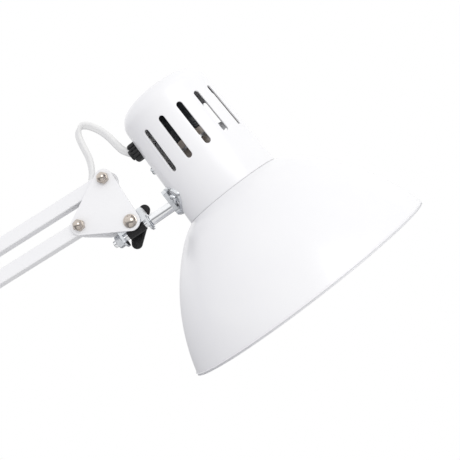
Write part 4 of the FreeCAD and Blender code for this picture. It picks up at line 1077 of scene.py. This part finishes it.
# ---------------------------------------------------------------- fasteners
@dataclass
class Fasteners:
    """Pivot hardware, each on its own local +Z axis, sizes in millimetres."""

    flats: float = 7.0
    bolt: float = 2.0
    plate: float = 6.5
    nut_turn: float = 15.0
    bolt_tip: float = -16.2

    def front(self, place: Vector) -> Matrix:
        """Frame on the front plate's face, local +Z outwards, turned as the nuts are."""
        turn = Matrix.Rotation(math.radians(self.nut_turn), 4, "Z")
        return turned_y(place + Vector((0, -self.plate * MM, 0))) @ turn

    def back(self, place: Vector) -> Matrix:
        """Frame on the rear plate's face, local +Z outwards."""
        face = Matrix.Translation(place + Vector((0, self.plate * MM, 0)))
        return face @ Matrix.Rotation(-math.pi / 2, 4, "X")

    def acorn(self) -> Array:
        """Hexagon with eased corners, a shoulder, and a polished dome."""
        side = eased([(0, 0, 0), (4.1, 0, 0.3), (4.1, 2.5, 0.35), (3.45, 3.05, 0.15), (3.2, 3.05, 0)])
        dome = arc((0, 2.85), 3.2, 5, 90, 16)
        return hexagon_turn(np.concatenate([side, dome]) * MM, self.flats * MM)

    def bolt_body(self, tip: float) -> Array:
        """Shank from its tip up to a chamfered hexagon head that stands on z = 0.

        Args:
            tip: height of the shank's tip.

        Returns:
            A grid of points in metres.
        """
        side = eased([(0, tip, 0), (self.bolt, tip, 0.2), (self.bolt, 0, 0.05), (4.1, 0, 0.3),
                      (4.1, 2.2, 0.35), (3.3, 2.8, 0.2), (0, 2.8, 0)])
        return hexagon_turn(side * MM, self.flats * MM)

    def washer(self, inner: float, outer: float, thick: float) -> Array:
        """Ring with eased edges.

        Args:
            inner: radius of its hole.
            outer: its outer radius.
            thick: its thickness.

        Returns:
            A grid of points in metres.
        """
        ease = min(thick, outer - inner) * 0.3
        side = eased([((inner + outer) / 2, 0, 0), (outer, 0, ease), (outer, thick, ease),
                      (inner, thick, ease), (inner, 0, ease), ((inner + outer) / 2, 0, 0)])
        return lathe(side[:-1] * MM, 64)

    def post(self) -> Array:
        """Cross post for the springs, with a headed end beyond each groove.

        Returns:
            A grid of points in metres.
        """
        side = eased([(0, -15.5, 0), (3.0, -15.5, 0.5), (3.0, -13.5, 0.4), (2.0, -13.3, 0.2),
                      (2.0, 13.3, 0.2), (3.0, 13.5, 0.4), (3.0, 15.5, 0.5), (0, 15.5, 0)])
        return lathe(side * MM, 48)

    def acorns(self, shop: Shop, name: str, body: str, node: str, places: list[Vector]) -> None:
        """Acorn nuts on the front of a pair of plates.

        Args:
            shop: dresses them.
            name: the piece's name.
            body: the body they ride on.
            node: the CAD node they stand for.
            places: their pivots.
        """
        nuts = Shell(name)
        for place in places:
            nuts.add(self.acorn(), place=self.front(place))
        shop.finish(nuts.done(), Stock.NICKEL, body, node)

    def bolts(self, name: str, places: list[Vector]) -> Shell:
        """Pivot bolts from behind.

        Args:
            name: the piece's name.
            places: their pivots.

        Returns:
            The bolts, not yet welded.
        """
        shell = Shell(name)
        for place in places:
            shell.add(self.bolt_body(self.bolt_tip), place=self.back(place))
        return shell

    def bolts_and_post(self, shop: Shop, name: str, body: str, node: str, places: list[Vector],
                       post: Vector) -> None:
        """Pivot bolts with the springs' cross post, which shares their node.

        Args:
            shop: dresses them.
            name: the piece's name.
            body: the body they ride on.
            node: the CAD node they stand for.
            places: the bolts' pivots.
            post: the post's middle.
        """
        shell = self.bolts(name, places).add(self.post(), place=turned_y(post))
        shop.finish(shell.done(), Stock.ZINC, body, node)


@dataclass
class ArmPlates:
    """Pairs of rounded plates at the elbow and the arm's end, with their hardware."""

    shop: Shop
    hardware: Fasteners = field(default_factory=Fasteners)
    inner: float = 5.0
    outer: float = 6.5
    edge: float = 0.3

    def plate(self, name: str, places: list[Vector], radii: list[float], rear: bool) -> Shell:
        """One plate round its pivots.

        Args:
            name: the plate's name.
            places: centres of its rounded corners.
            radii: their radii, in millimetres.
            rear: behind the arm, not in front of it.

        Returns:
            The plate, not yet welded.
        """
        low, high = (self.inner, self.outer) if rear else (-self.outer, -self.inner)
        centres = [(p.x, p.z) for p in places]
        grid = slab(centres, [r * MM for r in radii], low * MM, high * MM, self.edge * MM)
        return Shell(name).add(grid)

    def end(self) -> None:
        """The arm's end: a rounded triangle in front, a narrower plate behind, the large dome of
        the tilt bolt, and two acorn nuts."""
        heel = END_LOW + polar(-1.5, 17.0 * MM)
        front = self.plate("end_plate_face", [END_LOW, KNUCKLE, END_TOP], [6.3] * 3, False)
        rear = self.plate("end_plate_back", [END_LOW, heel, END_TOP], [6.3] * 3, True)
        self.shop.finish(front.done(), Stock.WHITE_PAINT, "end", "end_plate_front")
        self.shop.finish(rear.done(), Stock.WHITE_PAINT, "end", "end_plate_rear")
        self.hardware.acorns(self.shop, "end_acorns", "end", "end_acorn_nuts", [END_LOW, END_TOP])
        bolts = self.hardware.bolts("end_bolt_set", [END_LOW, END_TOP])
        shank = eased([(0, -22.0, 0), (2.0, -22.0, 0.3), (2.0, 0, 0.05), (4.3, 0, 0.2), (4.55, 0.5, 0.2),
                       (4.45, 0.9, 0)])
        dome = np.concatenate([shank, arc((0, -1.3), 4.6, 31, 90, 20)])
        bolts.add(lathe(dome * MM, 96), place=self.hardware.front(KNUCKLE))
        self.shop.finish(bolts.done(), Stock.NICKEL, "end", "end_bolts")

    def elbow(self) -> None:
        """The elbow: two four-cornered plates, four bolts and nuts, and the springs' post."""
        places, radii = [ELBOW_A, ELBOW_B, ELBOW_TOP, ELBOW_POST], [7.5, 7.5, 7.0, 5.0]
        pivots = [ELBOW_A, ELBOW_B, ELBOW_LOW, ELBOW_TOP]
        for rear, name, node in ((False, "elbow_plate_face", "elbow_plate_front"),
                                 (True, "elbow_plate_back", "elbow_plate_rear")):
            self.shop.finish(self.plate(name, places, radii, rear).done(), Stock.WHITE_PAINT, "elbow", node)
        self.hardware.acorns(self.shop, "elbow_acorns", "elbow", "elbow_acorn_nuts", pivots)
        self.hardware.bolts_and_post(self.shop, "elbow_bolt_set", "elbow", "elbow_bolts", pivots, ELBOW_POST)

    def shoulder(self) -> None:
        """Hardware of the shoulder bracket."""
        pivots = [SHOULDER_A, SHOULDER_B]
        self.hardware.acorns(self.shop, "shoulder_acorns", "turret", "shoulder_acorn_nuts", pivots)
        self.hardware.bolts_and_post(self.shop, "shoulder_bolt_set", "turret", "shoulder_bolts", pivots,
                                     SHOULDER_POST)

    def build(self) -> None:
        """Builds all three places, with the washers and brackets kept from the frame."""
        self.end()
        self.elbow()
        self.shoulder()
        self.shop.keep(Stock.WHITE_PLASTIC, "end_washers", "elbow_washers", "shoulder_washers")
        self.shop.ease(Stock.WHITE_PLASTIC, 0.3, "elbow_cord_clip", "base_cord_clip")
        self.shop.ease(Stock.WHITE_PAINT, 0.35, "shoulder_bracket", "clamp_frame")
        self.shop.keep(Stock.WHITE_PAINT, "upper_bar_top", "upper_bar_low", "lower_bar_rear",
                       "lower_bar_front")


@dataclass
class Knuckle:
    """Tilt and swivel of the head: wing nut, yoke, rod and what is threaded on it."""

    shop: Shop
    hardware: Fasteners = field(default_factory=Fasteners)
    drop: float = 5.5
    nut_angle: float = -12.0
    lobe_tips: tuple[float, float] = (10.4, -12.4)

    def on_rod(self, x: float) -> Matrix:
        """Frame on the rod's axis, local +Z along it towards the head."""
        return ROD @ Matrix.Translation((x * MM, 0, -self.drop * MM)) @ Matrix.Rotation(math.pi / 2, 4, "Y")

    def wing_nut(self) -> None:
        """Hub with an eased face and two broad lobes with thick rounded edges."""
        frame_here = upright_on(KNUCKLE, self.nut_angle)
        nut = Shell("wing_nut_lobes")
        hub = eased([(2.1, -3.0, 0), (2.6, -3.0, 0.2), (2.6, 9.8, 0.3), (5.6, 10.1, 0.6), (4.8, 16.5, 0.9),
                     (2.1, 16.5, 0)])
        nut.add(lathe(hub * MM, 64), wrap_rows=True, place=frame_here @ Matrix.Rotation(-math.pi / 2, 4, "X"))
        for tip in self.lobe_tips:
            centres = [(0.2 * MM, tip * 0.1 * MM), (1.6 * MM, tip * MM)]
            nut.add(slab(centres, [5.6 * MM, 3.6 * MM], 10.6 * MM, 14.4 * MM, 1.3 * MM, 6), place=frame_here)
        self.shop.finish(nut.done(crease=50), Stock.BLACK_PLASTIC, "wing", "wing_nut")

    def rod_parts(self) -> None:
        """Polished rod with its stepped stud, washer, bush and the end and inner nuts."""
        side = eased([(0, -18.2, 0), (2.1, -18.2, 0.3), (2.4, -17.8, 0.2), (2.4, 10.5, 0.1),
                      (3.4, 10.5, 0.2), (3.75, 10.9, 0.2), (3.75, 27.1, 0.2), (3.4, 27.5, 0.2),
                      (2.4, 27.5, 0.1), (2.4, 35.8, 0.3), (0, 36.0, 0)])
        rod = Shell("head_rod_turned").add(lathe(side * MM, 96), place=self.on_rod(0)).done()
        self.shop.finish(rod, Stock.STEEL, "head", "head_rod")
        washer = Shell("rod_washer_ring").add(self.hardware.washer(2.4, 4.9, 0.85), wrap_rows=True,
                                              place=self.on_rod(9.65)).done()
        self.shop.finish(washer, Stock.ZINC, "head", "rod_washer")
        sleeve = eased([(2.6, 0, 0), (3.3, 0, 0.2), (3.3, 12.6, 0.2), (2.42, 12.6, 0.1), (2.42, 0, 0.1),
                        (2.6, 0, 0)])
        bush = Shell("rod_bush_sleeve").add(lathe(sleeve[:-1] * MM, 64), wrap_rows=True,
                                            place=self.on_rod(-7.0)).done()
        self.shop.finish(bush, Stock.BLACK_PLASTIC, "head", "rod_bush")
        nut = eased([(2.45, 0, 0), (3.9, 0, 0.2), (4.7, 0.5, 0.2), (4.7, 3.7, 0.2), (3.9, 4.2, 0.2),
                     (2.45, 4.2, 0)])
        nuts = Shell("rod_nut_pair").add(hexagon_turn(nut * MM, 8.0 * MM), wrap_rows=True,
                                         place=self.on_rod(-15.75))
        nuts.add(hexagon_turn(nut * (1, 0.76) * MM, 8.0 * MM), wrap_rows=True, place=self.on_rod(32.3))
        self.shop.finish(nuts.done(), Stock.ZINC, "head", "rod_nuts")

    def build(self) -> None:
        """Builds the knuckle."""
        self.wing_nut()
        self.rod_parts()
        self.shop.ease(Stock.ZINC, 0.2, "yoke")


@dataclass
class Springs:
    """Close-wound tension springs in pairs beside each arm, sizes in millimetres."""

    shop: Shop
    coil: float = 3.55
    wire: float = 0.6
    pitch: float = 1.32
    lead: float = 13.0
    hook: float = 3.0
    hook_turn: float = 2.4
    side: float = 11.5
    bend: float = 42.0
    reach: float = 158.0
    turn_steps: int = 12

    def line(self, start: Vector, end: Vector, y: float) -> Array:
        """Wire of one spring: three quarters round the first post, a rise into the coil, a helix
        whose height grows evenly with its turn, and the same at the far end.

        Args:
            start: first post.
            end: second post.
            y: side of the arm.

        Returns:
            An (n, 3) array in metres.
        """
        span = (end - start).length / MM
        turns = round((span - 2 * self.lead) / self.pitch)
        angle = np.linspace(0, TAU * turns, turns * self.turn_steps + 1)
        run = self.lead + (span - 2 * self.lead) * angle / angle[-1]
        helix = np.stack([run, self.coil * np.cos(angle), self.coil * np.sin(angle)], axis=-1)
        bend = np.linspace(-self.hook_turn, self.hook_turn, 22)
        ring = np.stack([-self.hook * np.cos(bend), 0 * bend, -self.hook * np.sin(bend)], axis=-1)
        t = np.linspace(0, 1, 8)[1:-1, None]
        rise = ring[-1] * (1 - t) + helix[0] * t
        far = np.stack([span + self.hook * np.cos(bend), 0 * bend, -self.hook * np.sin(bend)], axis=-1)[::-1]
        fall = helix[-1] * (1 - t) + far[0] * t
        local = np.concatenate([ring, rise, helix, fall, far]) * MM
        way = (end - start).normalized()
        frame_here = upright_on(start + Vector((0, y * MM, 0)), math.degrees(math.atan2(way.z, way.x)))
        return placed(local, frame_here)

    def pair(self, name: str, start: Vector, end: Vector, a: str, b: str, node: str) -> None:
        """Two springs, one each side of an arm, that hook on their first post and lie along
        the bar from there.

        Args:
            name: start of both pieces' names.
            start: the first post.
            end: the second post.
            a: body of the first post.
            b: body of the second post.
            node: the CAD node they stand for.
        """
        section = superellipse(self.wire * MM, self.wire * MM, 2.0, 8)
        wide = np.array((0.03, 1.0, 0.05))
        for label, y in (("near", -self.side), ("far", self.side)):
            wire = capped(along(self.line(start, end, y), section, wide))
            shell = Shell(f"{name}_{label}").add(wire).done(crease=80)
            self.shop.dress(shell, Stock.SPRING_STEEL)
            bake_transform(shell)
            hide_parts(node)
            LOG.info("%s bends between %s and %s", shell.name, a, b)

    def build(self) -> None:
        """Builds the springs of both arms."""
        lower, upper = SHOULDER_A + LOWER_DIR * self.reach * MM, ELBOW_TOP + UPPER_DIR * self.reach * MM
        self.pair("lower_spring", SHOULDER_POST, lower, "turret", "lower_rear", "lower_springs")
        self.pair("upper_spring", ELBOW_POST, upper, "elbow", "upper_top", "upper_springs")


# ---------------------------------------------------------------- clamp
@dataclass
class Clamp:
    """Clamp screw with its thread, and the lobed hand knob, sizes in millimetres."""

    shop: Shop
    thread: float = 3.78
    thread_wave: float = 0.22
    pitch: float = 1.25
    lobe: float = 2.4
    lobes: int = 6

    def screw(self) -> None:
        """Threaded shank: its radius is a wave of the height that turns once for each pitch."""
        z, angle = np.arange(-103.5, -37.4, self.pitch / 8), np.arange(32) * TAU / 32
        fade = np.clip((z + 97) / 2, 0, 1) * np.clip((-38.5 - z) / 2, 0, 1)
        r = self.thread + self.thread_wave * fade[:, None] * np.sin(TAU * z[:, None] / self.pitch - angle)
        shank = np.stack([r * np.cos(angle), r * np.sin(angle), z[:, None] + 0 * angle], axis=-1)
        tip = lathe(eased([(3.4, -36.9, 0), (2.6, -33.7, 0.8), (2.6, -30.4, 0.8), (0, -29.6, 0)]), 32)
        foot = lathe(np.array([(0.0, -104.0), (3.3, -104.0)]), 32)
        screw = Shell("clamp_screw_threaded").add(np.concatenate([foot, shank, tip]) * MM).done(crease=60)
        self.shop.finish(screw, Stock.ZINC, "screw", "clamp_screw")

    def knob(self) -> None:
        """Knob whose radius is a mean plus a six-fold wave of the angle, eased at both faces."""
        side = eased([(0, -112.0, 0), (13.2, -112.0, 1.8), (13.2, -98.0, 1.8), (8.2, -98.0, 0.8),
                      (7.8, -94.0, 0.8), (0, -94.0, 0)])
        angle = np.arange(144) * TAU / 144
        r, z = side[:, :1], side[:, 1:]
        wave = np.clip((r - 8.5) / 4.7, 0, 1) * self.lobe * np.cos(self.lobes * angle)
        grid = np.stack([(r + wave) * np.cos(angle), (r + wave) * np.sin(angle), z + 0 * angle], axis=-1)
        knob = Shell("clamp_knob_lobes").add(grid * MM).done(crease=50)
        self.shop.finish(knob, Stock.BLACK_PLASTIC, "screw", "clamp_knob")

    def build(self) -> None:
        """Builds the screw and knob, and dresses what is kept from the frame."""
        self.screw()
        self.knob()
        self.shop.ease(Stock.ZINC, 0.3, "clamp_pad", "base_spigot")
        self.shop.ease(Stock.RUBBER, 0.3, "jaw_liner", "pad_liner")
        self.shop.keep(Stock.FLEX, "lower_tube_cord", "upper_tube_cord")


@dataclass
class PlugAndSwitch:
    """Moulded plug with a ribbed, tapered neck, and the inline switch, sizes in millimetres."""

    shop: Shop
    place: tuple[float, float, float] = (316.0, -44.5, 9.0)
    neck: float = 22.0
    body: float = 24.0

    def plug(self) -> bpy.types.Object:
        """Neck whose radius grows evenly with grooves as a cosine wave, flowing into a rounded
        oblong body.

        Returns:
            The plug's moulding.
        """
        x = np.linspace(0, self.neck - 1, 56)
        r = 4.2 + 3.1 * x / self.neck - 0.28 * (1 - np.cos(TAU * x / 3.4)) * (x < 20)
        side = np.concatenate([[(0, 0)], np.stack([r, x], axis=-1), [(0, self.neck - 1)]])
        towards_x = Matrix.Translation(Vector(self.place) * MM) @ Matrix.Rotation(math.pi / 2, 4, "Y")
        moulding = Shell("plug_moulding").add(lathe(side * MM, 64), place=towards_x)
        along_x = np.linspace(-1, 1, 41)
        ease = (1 - np.abs(along_x) ** 7 * 0.999) ** (1 / 7)
        draw = 1 - 0.05 * np.exp(-((along_x - 0.35) / 0.2) ** 2)
        section = superellipse(8.4, 12.5, 4.0, 64)
        middle, half = self.neck - 3 + (self.body + 3) / 2, (self.body + 3) / 2
        grid = np.concatenate([section[None] * (ease * draw)[:, None, None],
                               np.broadcast_to((middle + half * along_x)[:, None, None], (41, 64, 1))],
                              axis=-1)
        moulding.add(capped(grid * MM), place=towards_x)
        return self.shop.finish(moulding.done(crease=50), Stock.WHITE_PLASTIC, "clamp", "plug_body")

    def build(self) -> tuple[list[bpy.types.Object], list[bpy.types.Object]]:
        """Builds the plug and dresses the switch.

        Returns:
            The switch's pieces and the plug's pieces.
        """
        plug = self.plug()
        self.shop.keep(Stock.BRASS, "plug_blades")
        self.shop.keep(Stock.WHITE_PLASTIC, "switch_base", "switch_cover", "switch_rocker")
        nodes = frame["nodes"]
        switch = [nodes[name] for name in ("switch_base", "switch_cover", "switch_rocker")]
        return switch, [plug, nodes["plug_blades"]]


# ---------------------------------------------------------------- scene round the lamp
@dataclass
class Studio:
    """Desk, lights, world and camera."""

    camera_place: Vector = field(default_factory=lambda: Vector((0.3747, -0.4607, 0.5243)))
    yaw: float = -10.0
    pitch: float = 7.0
    lens: float = 58.7
    desk_edge: float = -20.0 * MM
    desk_thick: float = 24.6 * MM

    def camera(self) -> None:
        """Camera on the near side, a little below the shade, looking up."""
        data = bpy.data.cameras.new("camera")
        data.lens, data.sensor_width, data.clip_start = self.lens, 36.0, 0.01
        obj = bpy.data.objects.new("camera", data)
        bpy.context.scene.collection.objects.link(obj)
        obj.location = self.camera_place
        obj.rotation_euler = (math.radians(90 + self.pitch), 0, math.radians(-self.yaw))
        bpy.context.scene.camera = obj

    def desk(self) -> None:
        """Pale desk top whose edge the clamp holds, with a rounded front edge."""
        ease = 1.2 * MM
        profile = eased([(0.4, -self.desk_thick, 0), (1.5, -self.desk_thick, ease), (1.5, 0, ease),
                         (self.desk_edge, 0, ease), (self.desk_edge, -self.desk_thick, ease),
                         (0.4, -self.desk_thick, 0)])[:-1]
        rows = [np.insert(profile, 1, y, axis=1) for y in (-0.9, 0.9)]
        top = Shell("desk_top").add(capped(np.stack(rows))).done()
        material = Finish("desk_laminate", (0.80, 0.80, 0.79), (0.77, 0.77, 0.765), 0.55, 0.05, mottle=8,
                          grain=300, depth=0.02).build()
        top.data.materials.append(material)

    def area(self, name: str, place: tuple[float, float, float], aim: Vector, size: float, power: float,
             colour: tuple[float, float, float]) -> None:
        """Soft square light that faces a point.

        Args:
            name: the light's name.
            place: where it stands, in metres.
            aim: the point it faces.
            size: length of its side.
            power: its power in watts.
            colour: its colour.
        """
        data = bpy.data.lights.new(name, "AREA")
        data.shape, data.size, data.energy, data.color = "SQUARE", size, power, colour
        obj = bpy.data.objects.new(name, data)
        bpy.context.scene.collection.objects.link(obj)
        obj.location = place
        obj.rotation_euler = (aim - Vector(place)).to_track_quat("-Z", "Y").to_euler()

    def gradient(self, nodes: bpy.types.Nodes, links: bpy.types.NodeLinks, way: tuple[float, float, float],
                 stops: list[tuple[float, float, float, float]]) -> bpy.types.NodeSocket:
        """Background whose colour runs with how far a direction leans one way.

        Args:
            nodes: the world's nodes.
            links: the world's links.
            way: the direction that gets the last stop.
            stops: place, then colour, for each stop of the ramp.

        Returns:
            The background's shader socket.
        """
        coords, dot = nodes.new("ShaderNodeTexCoord"), nodes.new("ShaderNodeVectorMath")
        spread, ramp = nodes.new("ShaderNodeMapRange"), nodes.new("ShaderNodeValToRGB")
        back = nodes.new("ShaderNodeBackground")
        dot.operation = "DOT_PRODUCT"
        dot.inputs[1].default_value = Vector(way).normalized()
        spread.inputs["From Min"].default_value, spread.inputs["From Max"].default_value = -1.0, 1.0
        elements = ramp.color_ramp.elements
        while len(elements) < len(stops):
            elements.new(0.5)
        for element, stop in zip(elements, stops):
            element.position, element.color = stop[0], (*stop[1:], 1)
        for source, target in ((coords.outputs["Generated"], dot.inputs[0]),
                               (dot.outputs["Value"], spread.inputs["Value"]),
                               (spread.outputs["Result"], ramp.inputs["Fac"]),
                               (ramp.outputs["Color"], back.inputs["Color"])):
            links.new(source, target)
        return back.outputs["Background"]

    def world(self) -> None:
        """White seen by the camera; the light it sheds is brighter from above and the right and
        dimmer and cooler from the lower left; what metal mirrors is white above and grey below."""
        world = bpy.data.worlds.new("studio")
        bpy.context.scene.world = world
        world.use_nodes = True
        nodes, links = world.node_tree.nodes, world.node_tree.links
        nodes.clear()
        out, path, seen = (nodes.new("ShaderNodeOutputWorld"), nodes.new("ShaderNodeLightPath"),
                           nodes.new("ShaderNodeBackground"))
        first, second = nodes.new("ShaderNodeMixShader"), nodes.new("ShaderNodeMixShader")
        shed = self.gradient(nodes, links, (0.55, -0.25, 0.80),
                             [(0.15, 0.74, 0.74, 0.78), (0.85, 0.96, 0.96, 0.96)])
        mirrored = self.gradient(nodes, links, (-0.20, -0.12, 0.97),
                                 [(0.0, 0.26, 0.26, 0.27), (0.40, 0.36, 0.36, 0.37),
                                  (0.50, 0.66, 0.66, 0.67), (0.58, 1.10, 1.10, 1.10),
                                  (1.0, 1.15, 1.15, 1.15)])
        seen.inputs["Color"].default_value, seen.inputs["Strength"].default_value = (1, 1, 1, 1), 1.0
        for source, target in ((path.outputs["Is Glossy Ray"], first.inputs["Fac"]), (shed, first.inputs[1]),
                               (mirrored, first.inputs[2]),
                               (path.outputs["Is Camera Ray"], second.inputs["Fac"]),
                               (first.outputs["Shader"], second.inputs[1]),
                               (seen.outputs["Background"], second.inputs[2]),
                               (second.outputs["Shader"], out.inputs["Surface"])):
            links.new(source, target)

    def build(self) -> None:
        """Sets up the whole studio."""
        self.camera()
        self.desk()
        self.world()
        head = HEAD @ Vector((0, 0, 0))
        self.area("key", (1.1, -1.8, 1.5), head, 1.4, 12.0, (1.0, 0.99, 0.98))
        bpy.context.scene.view_settings.view_transform = "Standard"


def main() -> None:
    """Builds the lamp's looks: camera and cords first, then piece by piece."""
    logging.basicConfig(level=logging.INFO, format="%(name)s: %(message)s")
    shop = Shop()
    Studio().build()
    held = HeldCord(shop)
    held.build()
    switch, plug = PlugAndSwitch(shop).build()
    FreeLead(shop, held).build(switch, plug)
    for part in (Shade, Cap, HeadFittings, ArmPlates, Knuckle, Springs, Clamp):
        part(shop).build()


if __name__ == "__main__":
    main()
